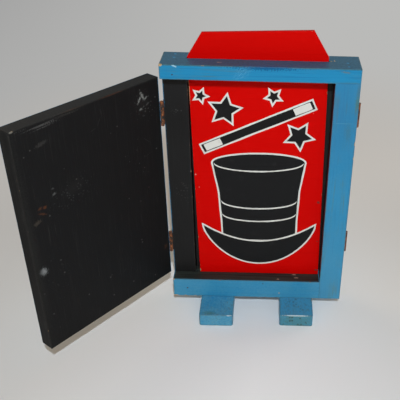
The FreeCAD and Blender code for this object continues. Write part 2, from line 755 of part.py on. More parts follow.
def make_hinged_door(doc, name, turn, open_angle, blank, sizes, layout):
    """Door with its two hinges and their screws.

    turn is the angle of the closed door about +Z, and open_angle a formula for how far it stands open.
    """
    axis = f"Layout.{name}_axis_x; Layout.{name}_axis_y"

    def stand(height, angle):
        return f"placement(vector({axis}; {height}); rotation(vector(0; 0; 1); {angle}))"

    door_angle = f"{turn} - {open_angle}"
    parts = [make_door(doc, name, stand("0", door_angle))]
    for level in ("upper", "lower"):
        hinge = f"{name}_{level}"
        height = f"Layout.{level}_hinge"
        box_stand = stand(height, turn)
        door_stand = stand(height, door_angle)
        parts += [
            make_leaf(doc, name, f"{hinge}_box_leaf", 1, DOOR_KNUCKLES, box_stand, sizes, layout),
            make_leaf(doc, name, f"{hinge}_door_leaf", -1, BOX_KNUCKLES, door_stand, sizes, layout),
            make_pin(doc, f"{hinge}_hinge_pin", box_stand),
        ]
    box_places = hinge_screw_places(name, 1)
    door_places = hinge_screw_places(name, -1)
    return parts + [
        make_group(doc, f"{name}_box_screws", blank, box_places, stand("0", turn)),
        make_group(doc, f"{name}_door_screws", blank, door_places, stand("0", door_angle)),
    ]


def check(doc, parts):
    """Raise if any object failed or any part is not a set of sound solids."""
    for item in doc.Objects:
        if {"Invalid", "Error"} & set(item.State):
            raise RuntimeError(f"{item.Name} failed: {item.State}")
    for part in parts:
        if part.Shape.isNull() or not part.Shape.isValid() or not part.Shape.Solids:
            raise RuntimeError(f"{part.Label} is not sound")


def main():
    """Build the cabinet and write one file for each part."""
    doc = FreeCAD.newDocument("picture_cabinet")
    sizes = make_sheet(doc, "Sizes", [(alias, str(value), note) for alias, value, note in SIZES])
    layout = make_sheet(doc, "Layout", [(alias, f"={formula}", alias) for alias, formula in LAYOUT])

    hinge_screw = make_screw_blank(doc, "hinge_screw")
    foot_screw = make_screw_blank(doc, "foot_screw")
    nail = make_nail_blank(doc)

    parts = [
        make_top_board(doc, layout),
        make_bottom_board(doc, sizes, layout),
        make_left_side(doc),
        make_right_side(doc, sizes, layout),
        make_foot(doc, "left_foot", -1, "Sizes.left_foot_lead", sizes),
        make_foot(doc, "right_foot", 1, "0", sizes),
        make_panel(doc),
        make_group(doc, "top_nails", nail, top_nail_places()),
        make_group(doc, "base_nails", nail, base_nail_places()),
        make_group(doc, "foot_screws", foot_screw, foot_screw_places()),
    ]
    parts += make_hinged_door(doc, "front", 0, "Sizes.front_door_angle", hinge_screw, sizes, layout)
    parts += make_hinged_door(doc, "rear", 180, "0", hinge_screw, sizes, layout)

    doc.recompute()
    check(doc, parts)
    os.makedirs("parts", exist_ok=True)
    for part in parts:
        part.Shape.exportStep(f"parts/{part.Label}.step")
        print(f"{part.Label}: {len(part.Shape.Solids)} solids, {part.Shape.Volume:.1f} mm3")


main()
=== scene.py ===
"""Portrait scene of a painted picture cabinet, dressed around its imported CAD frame.

The CAD frame is in metres: +X is to the right, -Y is the front and +Z is up.
Finishes are worked out in millimetres, in the own frame of the board they lie on.
"""

import json
import logging
import math
import random
from dataclasses import dataclass
from enum import Enum, IntEnum
from functools import cached_property, partial, reduce

import bmesh
import bpy
from mathutils import Euler, Matrix, Vector


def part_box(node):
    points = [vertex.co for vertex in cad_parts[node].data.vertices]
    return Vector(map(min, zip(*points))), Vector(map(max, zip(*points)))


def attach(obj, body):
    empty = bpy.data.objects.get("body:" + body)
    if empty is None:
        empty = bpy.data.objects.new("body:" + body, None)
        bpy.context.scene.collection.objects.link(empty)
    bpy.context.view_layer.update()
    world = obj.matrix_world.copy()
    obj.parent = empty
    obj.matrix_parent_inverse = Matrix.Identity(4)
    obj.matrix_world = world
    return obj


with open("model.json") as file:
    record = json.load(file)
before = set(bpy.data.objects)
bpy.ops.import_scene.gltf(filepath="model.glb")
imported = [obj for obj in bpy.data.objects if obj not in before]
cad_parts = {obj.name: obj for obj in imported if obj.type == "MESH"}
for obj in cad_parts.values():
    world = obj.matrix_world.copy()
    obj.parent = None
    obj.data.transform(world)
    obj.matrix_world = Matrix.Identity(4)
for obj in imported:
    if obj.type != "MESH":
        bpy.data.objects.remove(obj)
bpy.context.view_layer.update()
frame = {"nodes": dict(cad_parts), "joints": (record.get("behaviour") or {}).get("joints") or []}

LOG = logging.getLogger("picture_cabinet")
MM = 0.001
NOISE_MEAN = 0.5

Pair = tuple[float, float]
Triple = tuple[float, float, float]
Colour = tuple[float, float, float]
Outline = list[Pair]
Corners = tuple[Vector, Vector]
Socket = bpy.types.NodeSocket
Material = bpy.types.Material
Mesh = bpy.types.Mesh

# Numbers of the sockets of a Mix node that serve for colours
SHARE, FIRST, SECOND, MIXED = 0, 6, 7, 2


class Step(Enum):
    """Course of a step between two levels."""

    SOFT = "SMOOTHSTEP"
    EVEN = "LINEAR"


class Signal:
    """A number that varies over a surface, for use in Python arithmetic."""

    def __init__(self, bench: "NodeBench", socket: Socket) -> None:
        """Wrap an output socket of a bench's node tree."""
        self.bench = bench
        self.socket = socket

    def __add__(self, other: "Level") -> "Signal":
        """Return the sum."""
        return self.bench.math("ADD", self, other)

    __radd__ = __add__

    def __sub__(self, other: "Level") -> "Signal":
        """Return the difference."""
        return self.bench.math("SUBTRACT", self, other)

    def __rsub__(self, other: "Level") -> "Signal":
        """Return the difference, taken from the other."""
        return self.bench.math("SUBTRACT", other, self)

    def __mul__(self, other: "Level") -> "Signal":
        """Return the product."""
        return self.bench.math("MULTIPLY", self, other)

    __rmul__ = __mul__

    def least(self, other: "Level") -> "Signal":
        """Return the smaller of the two."""
        return self.bench.math("MINIMUM", self, other)

    def most(self, other: "Level") -> "Signal":
        """Return the larger of the two."""
        return self.bench.math("MAXIMUM", self, other)

    def swing(self, amount: float) -> "Signal":
        """Return the departure of noise from its mean, times an amount."""
        return (self - NOISE_MEAN) * amount

    def ramp(self, start: float, end: float, step: Step = Step.SOFT) -> "Signal":
        """Return a step from 0 at start to 1 at end.

        Args:
            start: Level that gives 0.
            end: Level that gives 1; it may be below start.
            step: Course of the step between them.

        Returns:
            The stepped signal.
        """
        sockets = {"Value": self, "From Min": start, "From Max": end}
        made = self.bench.node("ShaderNodeMapRange", sockets, interpolation_type=step.value)
        return Signal(self.bench, made[0])


Level = Signal | float


def put(name: str, data: bpy.types.ID) -> bpy.types.Object:
    """Add an object to the scene.

    Args:
        name: Name of the object.
        data: Its mesh, light or camera.

    Returns:
        The object.
    """
    item = bpy.data.objects.new(name, data)
    bpy.context.scene.collection.objects.link(item)
    return item


class NodeBench:
    """A node tree and the one way in which nodes are added to it."""

    def __init__(self, tree: bpy.types.NodeTree) -> None:
        """Take hold of a tree and empty it."""
        self.tree = tree
        self.tree.nodes.clear()

    def node(self, kind: str, sockets: dict | None = None, **settings: object) -> bpy.types.NodeOutputs:
        """Add a node.

        Args:
            kind: Type of the node.
            sockets: Values or links, by the socket's name or number.
            settings: Properties, set first.

        Returns:
            The node's outputs.
        """
        made = self.tree.nodes.new(kind)
        for key, value in settings.items():
            setattr(made, key, value)
        for key, value in (sockets or {}).items():
            self.plug(made.inputs[key], value)
        return made.outputs

    def plug(self, socket: Socket, value: object) -> None:
        """Link a signal or a socket to an input, or set the input's own value.

        Args:
            socket: Input to fill.
            value: Signal, socket, number, vector, colour or data block; a list links several.
        """
        if isinstance(value, Signal):
            value = value.socket
        if isinstance(value, list):
            for item in value:
                self.plug(socket, item)
        elif isinstance(value, Socket):
            self.tree.links.new(value, socket)
        elif socket.type == "RGBA" and len(value) == 3:
            socket.default_value = (*value, 1.0)
        else:
            socket.default_value = value

    def math(self, operation: str, first: Level, second: Level) -> Signal:
        """Add a Math node and return its result."""
        return Signal(self, self.node("ShaderNodeMath", {0: first, 1: second}, operation=operation)[0])

    def blend(self, share: Level, first: object, second: object) -> Socket:
        """Return a mix of two colours, all of the second one at share 1."""
        sockets = {SHARE: share, FIRST: first, SECOND: second}
        return self.node("ShaderNodeMix", sockets, data_type="RGBA")[MIXED]

    def laid(self, coat: object, *layers: tuple[Level, object]) -> Socket:
        """Lay more layers over a coat.

        Args:
            coat: Colour of the coat.
            layers: Share and colour of each layer, the lowest first.

        Returns:
            Socket of the colour.
        """
        for share, colour in layers:
            coat = self.blend(share, coat, colour)
        return coat

    def parts(self, vector: Socket) -> tuple[Signal, ...]:
        """Return the three coordinates of a vector."""
        split = self.node("ShaderNodeSeparateXYZ", {"Vector": vector})
        return tuple(Signal(self, socket) for socket in split)

    def scaled(self, vector: Socket, scale: Triple) -> Socket:
        """Return a vector with each axis scaled."""
        return self.node("ShaderNodeVectorMath", {0: vector, 1: scale}, operation="MULTIPLY")[0]

    def length(self, vector: Socket) -> Signal:
        """Return the length of a vector."""
        return Signal(self, self.node("ShaderNodeVectorMath", {0: vector}, operation="LENGTH")["Value"])

    def seated(self, vector: Socket, origin: Triple, turn: Triple, scale: Triple) -> Socket:
        """Return a vector as it is in a frame with its own origin, turn and scale."""
        sockets = {"Vector": vector, "Location": origin, "Rotation": turn, "Scale": scale}
        return self.node("ShaderNodeMapping", sockets, vector_type="TEXTURE")[0]


class Axis(Enum):
    """Axis of a piece's own frame."""

    X = 0
    Y = 1
    Z = 2


class Face(Enum):
    """Face of a board: its axis, and whether it is at the high end."""

    LEFT = (Axis.X, False)
    RIGHT = (Axis.X, True)
    FRONT = (Axis.Y, False)
    BACK = (Axis.Y, True)
    UNDER = (Axis.Z, False)
    TOP = (Axis.Z, True)


OUTSIDE = frozenset(Face)


@dataclass(frozen=True)
class Bench:
    """A piece's own frame: its origin in metres and its turn in radians, seen from the CAD frame."""

    origin: Triple = (0.0, 0.0, 0.0)
    turn: Triple = (0.0, 0.0, 0.0)

    def matrix(self) -> Matrix:
        """Return the transform from the piece's own millimetres to the CAD frame."""
        turned = Euler(self.turn).to_matrix().to_4x4()
        return Matrix.Translation(self.origin) @ turned @ Matrix.Scale(MM, 4)

    def bounds(self, node: str) -> Corners:
        """Measure a CAD node in this frame.

        Args:
            node: Name of the node.

        Returns:
            Lowest and highest corner, in millimetres.
        """
        inverse = self.matrix().inverted()
        points = [inverse @ vertex.co for vertex in frame["nodes"][node].data.vertices]
        columns = list(zip(*points))
        low, high = (Vector([pick(column) for column in columns]) for pick in (min, max))
        return low, high


class Recipe(NodeBench):
    """Node tree of one material on one bench, ending in a principled shader."""

    def __init__(self, name: str, bench: Bench) -> None:
        """Start a material whose coordinates are the bench's millimetres.

        Args:
            name: Name of the material.
            bench: Frame that the pattern follows.
        """
        self.material = bpy.data.materials.new(name)
        self.material.use_nodes = True
        super().__init__(self.material.node_tree)
        spots = self.node("ShaderNodeTexCoord")["Object"]
        self.place = self.seated(spots, bench.origin, bench.turn, (MM, MM, MM))

    def depths(self, corners: Corners) -> dict[Face, Signal]:
        """Measure the depth below each face of a board.

        Args:
            corners: Lowest and highest corner of the board.

        Returns:
            The depths, by face.
        """
        low, high = corners
        along = self.parts(self.place)
        found = {}
        for face in Face:
            axis, far = face.value
            spot = along[axis.value]
            found[face] = high[axis.value] - spot if far else spot - low[axis.value]
        return found

    def noise(self, waves: float | Triple, detail: float, rough: float,
              place: Socket | None = None) -> Signal:
        """Add a noise pattern.

        Args:
            waves: Waves in each unit of the coordinates, the same on all axes or one number for each.
            detail: Octaves of finer noise.
            rough: Strength of the finer octaves.
            place: Coordinates, if they aren't the bench's millimetres.

        Returns:
            The pattern, at NOISE_MEAN on average.
        """
        sockets = {"Vector": place or self.place, "Scale": 1.0, "Detail": detail, "Roughness": rough}
        if isinstance(waves, tuple):
            sockets["Vector"] = self.scaled(sockets["Vector"], waves)
        else:
            sockets["Scale"] = waves
        return Signal(self, self.node("ShaderNodeTexNoise", sockets)[0])

    def specks(self, spacing: float, radius: float) -> Signal:
        """Return scattered dots, 1 inside, from their mean spacing and their largest radius."""
        cells = self.node("ShaderNodeTexVoronoi", {"Vector": self.place, "Scale": 1.0 / spacing})
        return (Signal(self, cells["Distance"]) * spacing).ramp(radius, 0.5 * radius)

    def finish(self, colour: object, roughness: Level, height: Level, relief: float, metal: Level = 0.0,
               shine: float = 0.5) -> Material:
        """Close the tree with a principled shader.

        Args:
            colour: Base colour, or a socket that carries it.
            roughness: Roughness of the surface.
            height: Relief of the surface, about 0 to 1.
            relief: Depth of the relief in millimetres.
            metal: Share of bare metal.
            shine: Level of the plain reflection.

        Returns:
            The finished material.
        """
        bump = self.node("ShaderNodeBump", {"Height": height, "Distance": relief * MM})
        sockets = {
            "Base Color": colour,
            "Roughness": roughness,
            "Metallic": metal,
            "Specular IOR Level": shine,
            "Normal": bump[0],
        }
        shader = self.node("ShaderNodeBsdfPrincipled", sockets)
        self.node("ShaderNodeOutputMaterial", {"Surface": shader[0]})
        return self.material


class Pattern(NodeBench):
    """Geometry Nodes tree with named inputs that sets one shape on many points."""

    kinds = {float: "NodeSocketFloat", int: "NodeSocketInt"}

    def __init__(self, name: str, inputs: dict[str, float | int]) -> None:
        """Start a tree.

        Args:
            name: Name of the tree.
            inputs: Values of its inputs, by name.
        """
        super().__init__(bpy.data.node_groups.new(name, "GeometryNodeTree"))
        self.inputs = inputs
        sockets = [("Geometry", "INPUT", "NodeSocketGeometry")]
        sockets += [(label, "INPUT", self.kinds[type(value)]) for label, value in inputs.items()]
        sockets += [("Material", "INPUT", "NodeSocketMaterial"), ("Geometry", "OUTPUT", "NodeSocketGeometry")]
        for label, side, kind in sockets:
            self.tree.interface.new_socket(label, in_out=side, socket_type=kind)
        self.given = self.node("NodeGroupInput")

    def named(self, label: str) -> Socket:
        """Return a number that the points carry, by its name."""
        made = self.node("GeometryNodeInputNamedAttribute", {"Name": label}, data_type="FLOAT")
        return made["Attribute"]

    def run(self, shape: Socket, turn: Socket, scale: Socket, points: list[Triple],
            values: dict[str, list[float]], material: Material) -> Mesh:
        """Set the shape on the points and keep the result as a plain mesh.

        Args:
            shape: Geometry to repeat.
            turn: Turn at each point.
            scale: Scale at each point.
            points: Places of the shape.
            values: Numbers that each point carries, by name.
            material: Material of the result.

        Returns:
            The mesh.
        """
        placing = {"Points": self.given["Geometry"], "Instance": shape, "Rotation": turn, "Scale": scale}
        placed = self.node("GeometryNodeInstanceOnPoints", placing)[0]
        real = self.node("GeometryNodeRealizeInstances", {"Geometry": placed})[0]
        dressing = {"Geometry": real, "Material": self.given["Material"]}
        dressed = self.node("GeometryNodeSetMaterial", dressing)[0]
        self.node("NodeGroupOutput", {"Geometry": dressed})

        mesh = bpy.data.meshes.new(self.tree.name)
        mesh.from_pydata(points, [], [])
        for label, numbers in values.items():
            mesh.attributes.new(label, "FLOAT", "POINT").data.foreach_set("value", numbers)
        holder = put(self.tree.name, mesh)
        modifier = holder.modifiers.new(self.tree.name, "NODES")
        modifier.node_group = self.tree
        settings = {**self.inputs, "Material": material}
        for item in self.tree.interface.items_tree:
            if item.name in settings:
                modifier[item.identifier] = settings[item.name]
        graph = bpy.context.evaluated_depsgraph_get()
        made = bpy.data.meshes.new_from_object(holder.evaluated_get(graph), depsgraph=graph)
        bpy.data.objects.remove(holder)
        bpy.data.meshes.remove(mesh)
        return made


@dataclass(frozen=True)
class Enamel:
    """A coat of enamel: its main colour, where it lies thick, where it is thin, and its roughness."""

    main: Colour
    thick: Colour
    thin: Colour
    roughness: float


BLUE = Enamel((0.014, 0.232, 0.450), (0.006, 0.14, 0.33), (0.05, 0.30, 0.52), 0.36)
BLACK = Enamel((0.0074, 0.0075, 0.0077), (0.0035, 0.0035, 0.0037), (0.0125, 0.0125, 0.0125), 0.56)
RED = Enamel((0.60, 0.0010, 0.0002), (0.43, 0.0006, 0.0002), (0.64, 0.006, 0.002), 0.42)
GREEN_GRIME = (0.075, 0.165, 0.17)
BROWN_STAIN = (0.11, 0.095, 0.045)
FADED_BLUE = (0.15, 0.40, 0.50)
# Colour of the painted shade laid on upward faces
PAINTED_TOP_SHADE = (0.016, 0.054, 0.074)
OLD_BROWN = (0.030, 0.038, 0.031)
PALE_WOOD = (0.50, 0.34, 0.17)
DARK_WOOD = (0.17, 0.095, 0.045)
DUST = (0.030, 0.029, 0.027)
PALE_DUST = (0.075, 0.073, 0.070)
OLD_LAYERS = (0.040, 0.039, 0.035)
DARK_SPOT = (0.055, 0.04, 0.028)
PALE_BLUE = (0.12, 0.36, 0.57)
DEEP_BLUE = (0.004, 0.085, 0.22)
BROWN_RUB = (0.30, 0.20, 0.15)
WORN_BLACK = (0.013, 0.010, 0.008)
GREEN_BLOTCH = (0.060, 0.170, 0.115)
OLIVE = (0.034, 0.048, 0.022)
# Colour of the painted highlight along the feet's front-top edges
ARRIS_HIGHLIGHT = (0.58, 0.68, 0.70)
SMUDGE = (0.11, 0.035, 0.03)
BARE_EDGE = (0.40, 0.29, 0.16)


@dataclass(frozen=True)
class Mark:
    """A scuff, chip or stain: an uneven spot of colour on a face of a board, in the board's millimetres.

    The spot and its half sizes are given along the two axes of the face, in the order of X, Y and Z.
    Depth is how far below the face the mark's middle lies, and reach its half size that way.
    The turn, in degrees, is about the Y axis.
    """

    face: Face
    spot: Pair
    size: Pair
    colour: Colour
    turn: float = 0.0
    strength: float = 1.0
    uneven: float = 0.9
    core: float = 0.6
    hatch: float = 0.0
    dots: float = 0.0
    dot_radius: float = 0.75
    depth: float = 0.0
    reach: float = 0.8

    def solid(self, pair: Pair, third: float) -> Triple:
        """Return two numbers along the face with a third one for the axis across it."""
        axis, _ = self.face.value
        return (*pair[:axis.value], third, *pair[axis.value:])

    def mask(self, recipe: Recipe, grit: Signal, corners: Corners) -> Signal:
        """Draw the mark.

        Args:
            recipe: Material that carries it.
            grit: Fine noise that breaks its outline.
            corners: Lowest and highest corner of the board.

        Returns:
            Share of the mark's colour.
        """
        low, high = corners
        axis, far = self.face.value
        level = high[axis.value] - self.depth if far else low[axis.value] + self.depth
        turned = (0.0, math.radians(self.turn), 0.0)
        centre, radii = self.solid(self.spot, level), self.solid(self.size, self.reach)
        spot = recipe.seated(recipe.place, centre, turned, radii)
        broken = recipe.length(spot) + grit.swing(2.0 * self.uneven)
        share = broken.ramp(1.0, self.core) * self.strength
        if self.hatch:
            lines = recipe.noise((self.hatch / 8.0, 0.6, self.hatch), 1.0, 0.5, spot)
            share = share * lines.ramp(0.50, 0.60)
        if self.dots:
            share = share * recipe.specks(self.dots, self.dot_radius)
        return share


on_front = partial(Mark, Face.FRONT)
on_top = partial(Mark, Face.TOP)
edge_chip = partial(Mark, Face.FRONT, colour=PALE_WOOD, depth=0.2, reach=1.2)


def weathered(recipe: Recipe, coat: Socket, chip: Signal, grit: Signal, marks: tuple[Mark, ...],
              corners: Corners) -> Socket:
    """Chip a coat of paint to the wood and lay marks on it.

    Args:
        recipe: Material that carries the coat.
        coat: Colour of the coat.
        chip: Share of bare wood.
        grit: Fine noise in the wood and round the marks.
        marks: Marks, the lowest first.
        corners: Lowest and highest corner of the board.

    Returns:
        Socket of the colour.
    """
    wood = recipe.blend(grit.ramp(0.35, 0.65), DARK_WOOD, PALE_WOOD)
    spots = [(mark.mask(recipe, grit, corners), mark.colour) for mark in marks]
    return recipe.laid(coat, (chip, wood), *spots)


def nearest_edge(depths: dict[Face, Signal]) -> Signal:
    """Find the distance to the nearest edge: the middle one of the depths along the three axes.

    Args:
        depths: Depth below each face of a board.

    Returns:
        The distance.
    """
    ends = ((Face.LEFT, Face.RIGHT), (Face.FRONT, Face.BACK), (Face.UNDER, Face.TOP))
    across, deep, tall = (depths[one].least(depths[other]) for one, other in ends)
    return across.least(deep).most(across.most(deep).least(tall))


@dataclass(frozen=True)
class Weave:
    """Noise that a board's coats share: brush marks along the grain, fine noise and broad noise."""

    streak: Signal
    fine: Signal
    broad: Signal


@dataclass(frozen=True)
class PaintedBoard:
    """A wooden board under hand-brushed enamel, blue on some faces and black on the others.

    Wear, grime, stain, fade and brown are strengths, and so is the painted shade on the upward face. A joined
    face meets another board and has no open
    edge: it counts as if it lay further off by the length called clear. The strokes of the brush are in waves
    for each millimetre.
    """

    node: str
    grain: Axis
    blue: frozenset[Face]
    bench: Bench = Bench()
    joined: frozenset[Face] = frozenset()
    marks: tuple[Mark, ...] = ()
    wear: float = 1.0
    grime: float = 0.6
    stain: float = 0.0
    fade: float = 0.0
    # Strength of the painted shade on the upward face
    top_shade: float = 0.0
    brown: float = 0.0
    layered: bool = False
    shine: float = 0.30
    relief: float = 0.12
    clear: float = 40.0
    stroke_across: float = 0.85
    stroke_along: float = 0.022

    def drawn(self, across: float, along: float) -> Triple:
        """Return the waves of a pattern that is drawn out along the grain."""
        return tuple(along if axis is self.grain else across for axis in Axis)

    def blue_coat(self, recipe: Recipe, weave: Weave) -> Socket:
        """Mix the blue enamel, with brush marks, grime and stains.

        Args:
            recipe: Material that carries it.
            weave: Noise of the board.

        Returns:
            Socket of the colour.
        """
        thick = weave.streak.ramp(0.50, 0.78) * 0.55
        thin = weave.fine.ramp(0.58, 0.80) * 0.30
        rubbed = recipe.noise(self.drawn(0.5, 0.016), 4.0, 0.62)
        grime = rubbed.ramp(0.46, 0.70) * weave.broad.ramp(0.40, 0.66) * self.grime
        layers = [(thick, BLUE.thick), (thin, BLUE.thin), (grime, GREEN_GRIME)]
        if self.fade:
            faded = (weave.broad + weave.fine).ramp(0.60, 1.20) * (2.0 * self.fade)
            layers.append((faded, FADED_BLUE))
        if self.stain:
            spots = recipe.noise(self.drawn(0.9, 0.24), 3.0, 0.7)
            stained = spots.ramp(0.52, 0.66) * weave.broad.ramp(0.30, 0.52)
            layers.append((stained * self.stain, BROWN_STAIN))
        return recipe.laid(BLUE.main, *layers)

    def black_coat(self, recipe: Recipe, weave: Weave, depths: dict[Face, Signal]) -> Socket:
        """Mix the black enamel, with dust, thin places and layered edges.

        Args:
            recipe: Material that carries it.
            weave: Noise of the board.
            depths: Depth below each face of the board.

        Returns:
            Socket of the colour.
        """
        thin = weave.streak.ramp(0.50, 0.75) * 0.6
        dusty = weave.fine.ramp(0.56, 0.82) * weave.broad.ramp(0.38, 0.70) * 0.55
        layers = [(thin, BLACK.thin), (dusty, DUST)]
        if self.brown:
            layers.append((weave.streak.ramp(0.30, 0.60) * self.brown, OLD_BROWN))
        if self.layered:
            plies = recipe.noise((0.012, 0.8, 0.012), 3.0, 0.6)
            sides = depths[Face.LEFT].least(depths[Face.RIGHT])
            rim = sides.least(depths[Face.UNDER].least(depths[Face.TOP]))
            layers += [
                (plies.ramp(0.48, 0.66) * rim.ramp(0.9, 0.3) * 0.2, OLD_LAYERS),
                (self.scratches(recipe, 28.0) * weave.broad.ramp(0.42, 0.60) * 0.5, DUST),
                (self.scratches(recipe, -17.0) * weave.broad.ramp(0.60, 0.44) * 0.5, DUST),
                (recipe.specks(10.0, 0.85) * 0.8, PALE_DUST),
            ]
        return recipe.laid(BLACK.main, *layers)

    @staticmethod
    def scratches(recipe: Recipe, turn: float) -> Signal:
        """Draw fine scratches.

        Args:
            recipe: Material that carries them.
            turn: Degrees from upright.

        Returns:
            Share of the scratches.
        """
        turned = (0.0, math.radians(turn), 0.0)
        sockets = {"Vector": recipe.place, "Rotation": turned, "Scale": (1.3, 0.2, 0.035)}
        slanted = recipe.node("ShaderNodeMapping", sockets)[0]
        return recipe.noise(1.0, 2.0, 0.5, slanted).ramp(0.62, 0.72)

    def dress(self) -> Material:
        """Paint the board.

        Returns:
            The board's material.
        """
        recipe = Recipe(f"paint_of_{self.node}", self.bench)
        corners = self.bench.bounds(self.node)
        depths = recipe.depths(corners)
        streak = recipe.noise(self.drawn(self.stroke_across, self.stroke_along), 3.0, 0.55)
        fine = recipe.noise(0.55, 4.0, 0.6)
        broad = recipe.noise(0.033, 3.0, 0.55)
        grit = recipe.noise(0.9, 3.0, 0.65)
        nicks = recipe.noise(0.15, 5.0, 0.66)
        weave = Weave(streak, fine, broad)

        near = [(depths[face] + fine.swing(1.0)).ramp(0.8, 0.45) for face in Face if face in self.blue]
        share = reduce(Signal.most, near)
        blue = self.blue_coat(recipe, weave)
        # Painted shade: the upward face is darkened towards a dark blue-grey, in place of shade from the
        # lamps
        if self.top_shade:
            shaded_top = (depths[Face.TOP] + grit.swing(1.2)).ramp(1.0, 0.4) * (0.6 + fine * 0.8)
            blue = recipe.blend(shaded_top * self.top_shade, blue, PAINTED_TOP_SHADE)

        free = {face: depth + self.clear if face in self.joined else depth for face, depth in depths.items()}
        edge = nearest_edge(free)
        rub = (edge - nicks * 1.6).ramp(0.5, -0.7) * (0.5 * self.wear)
        rubbed = GREEN_GRIME if len(self.blue) > len(Face) / 2 else DUST
        coat = recipe.laid(self.black_coat(recipe, weave, depths), (share, blue), (rub, rubbed))
        chip = (edge + (0.64 - nicks) * 9.0 + grit.swing(0.8)).ramp(0.35, 0.05) * self.wear
        coat = weathered(recipe, coat, chip, grit, self.marks, corners)

        gloss = share * (BLUE.roughness - BLACK.roughness) + BLACK.roughness
        roughness = gloss + broad.swing(0.16) + fine.swing(0.14) + chip * 0.35
        height = streak * 0.55 + fine * 0.25 - chip * 0.9
        return recipe.finish(coat, roughness, height, self.relief, shine=self.shine)


@dataclass(frozen=True)
class PaintedPanel:
    """The loose panel under red enamel, rubbed to the wood along its edges."""

    node: str
    bench: Bench
    marks: tuple[Mark, ...]
    relief: float = 0.04
    shine: float = 0.04

    def dress(self) -> Material:
        """Paint the panel.

        Returns:
            The panel's material.
        """
        recipe = Recipe(f"paint_of_{self.node}", self.bench)
        corners = self.bench.bounds(self.node)
        brush = recipe.noise((0.02, 0.5, 0.5), 3.0, 0.55)
        fine = recipe.noise(0.7, 3.0, 0.6)
        broad = recipe.noise(0.025, 3.0, 0.55)
        nicks = recipe.noise(0.2, 5.0, 0.68)
        grit = recipe.noise(1.1, 3.0, 0.6)
        thick = brush.ramp(0.48, 0.80) * 0.22
        thin = fine.ramp(0.62, 0.82) * broad.ramp(0.40, 0.62) * 0.45
        coat = recipe.laid(RED.main, (thick, RED.thick), (thin, RED.thin))
        chip = (nearest_edge(recipe.depths(corners)) + (0.60 - nicks) * 5.0).ramp(0.25, 0.0)
        coat = weathered(recipe, coat, chip, grit, self.marks, corners)
        roughness = RED.roughness + broad.swing(0.18) + fine.swing(0.10) + chip * 0.4
        height = brush * 0.5 + fine * 0.3 - chip * 0.9
        return recipe.finish(coat, roughness, height, self.relief, shine=self.shine)


@dataclass(frozen=True)
class RustySteel:
    """Old steel hinge ware: rust, dark scale, remains of black paint and a little bare metal."""

    name: str = "rusty_steel"
    rust: Colour = (0.30, 0.095, 0.028)
    scale: Colour = (0.055, 0.024, 0.013)
    steel: Colour = (0.32, 0.29, 0.26)
    relief: float = 0.10

    def dress(self) -> Material:
        """Rust the steel.

        Returns:
            The material.
        """
        recipe = Recipe(self.name, Bench())
        blotch = recipe.noise(0.42, 4.0, 0.62)
        pits = recipe.noise(2.1, 4.0, 0.7)
        left = recipe.noise(0.30, 3.0, 0.6)
        rusted = blotch.ramp(0.38, 0.64)
        pitted = pits.ramp(0.50, 0.72) * 0.6
        paint = (left + pits.swing(0.2)).ramp(0.54, 0.60)
        bare = (blotch + pits.swing(0.3)).ramp(0.30, 0.24) * (1.0 - paint)
        layers = ((rusted, self.rust), (pitted, self.scale), (paint, BLACK.main), (bare, self.steel))
        roughness = 0.82 - paint * 0.34 - bare * 0.45 + pits.swing(0.2)
        height = pits * 0.8 + paint * 0.4
        return recipe.finish(recipe.laid(self.scale, *layers), roughness, height, self.relief, bare * 0.9)


@dataclass(frozen=True)
class PlainPaint:
    """Picture paint: one colour with brush marks and fine scuffs."""

    name: str
    colour: Colour
    worn: Colour
    roughness: float
    bench: Bench
    relief: float = 0.04
    shine: float = 0.15

    def dress(self) -> Material:
        """Mix the paint.

        Returns:
            The material.
        """
        recipe = Recipe(self.name, self.bench)
        brush = recipe.noise((0.10, 0.5, 0.30), 4.0, 0.6)
        scuff = recipe.noise(0.12, 5.0, 0.7)
        rubbed = scuff.ramp(0.50, 0.78) * brush.ramp(0.35, 0.70) * 0.7
        colour = recipe.blend(rubbed, self.colour, self.worn)
        roughness = self.roughness + brush.swing(0.15) + scuff.swing(0.12)
        return recipe.finish(colour, roughness, brush, self.relief, shine=self.shine)


def set_material(node: str, material: Material) -> None:
    """Give a CAD node a material through its object's slots.

    Args:
        node: Name of the node.
        material: Material that it gets.
    """
    for slot in frame["nodes"][node].material_slots:
        slot.material = material
    LOG.info("dressed %s with %s", node, material.name)


def add_piece(name: str, mesh: Mesh, material: Material, body: str) -> None:
    """Add a finished mesh to the scene as a piece of the object.

    Args:
        name: Name of the piece.
        mesh: Its mesh, in the CAD frame.
        material: Its material.
        body: CAD body that it rides on.
    """
    piece = put(name, mesh)
    mesh.materials.clear()
    mesh.materials.append(material)
    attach(piece, body)
    LOG.info("added %s on %s, %d faces", name, body, len(mesh.polygons))


def joint(name: str) -> dict:
    """Return a joint of the frame by its name."""
    return next(item for item in frame["joints"] if item["name"] == name)


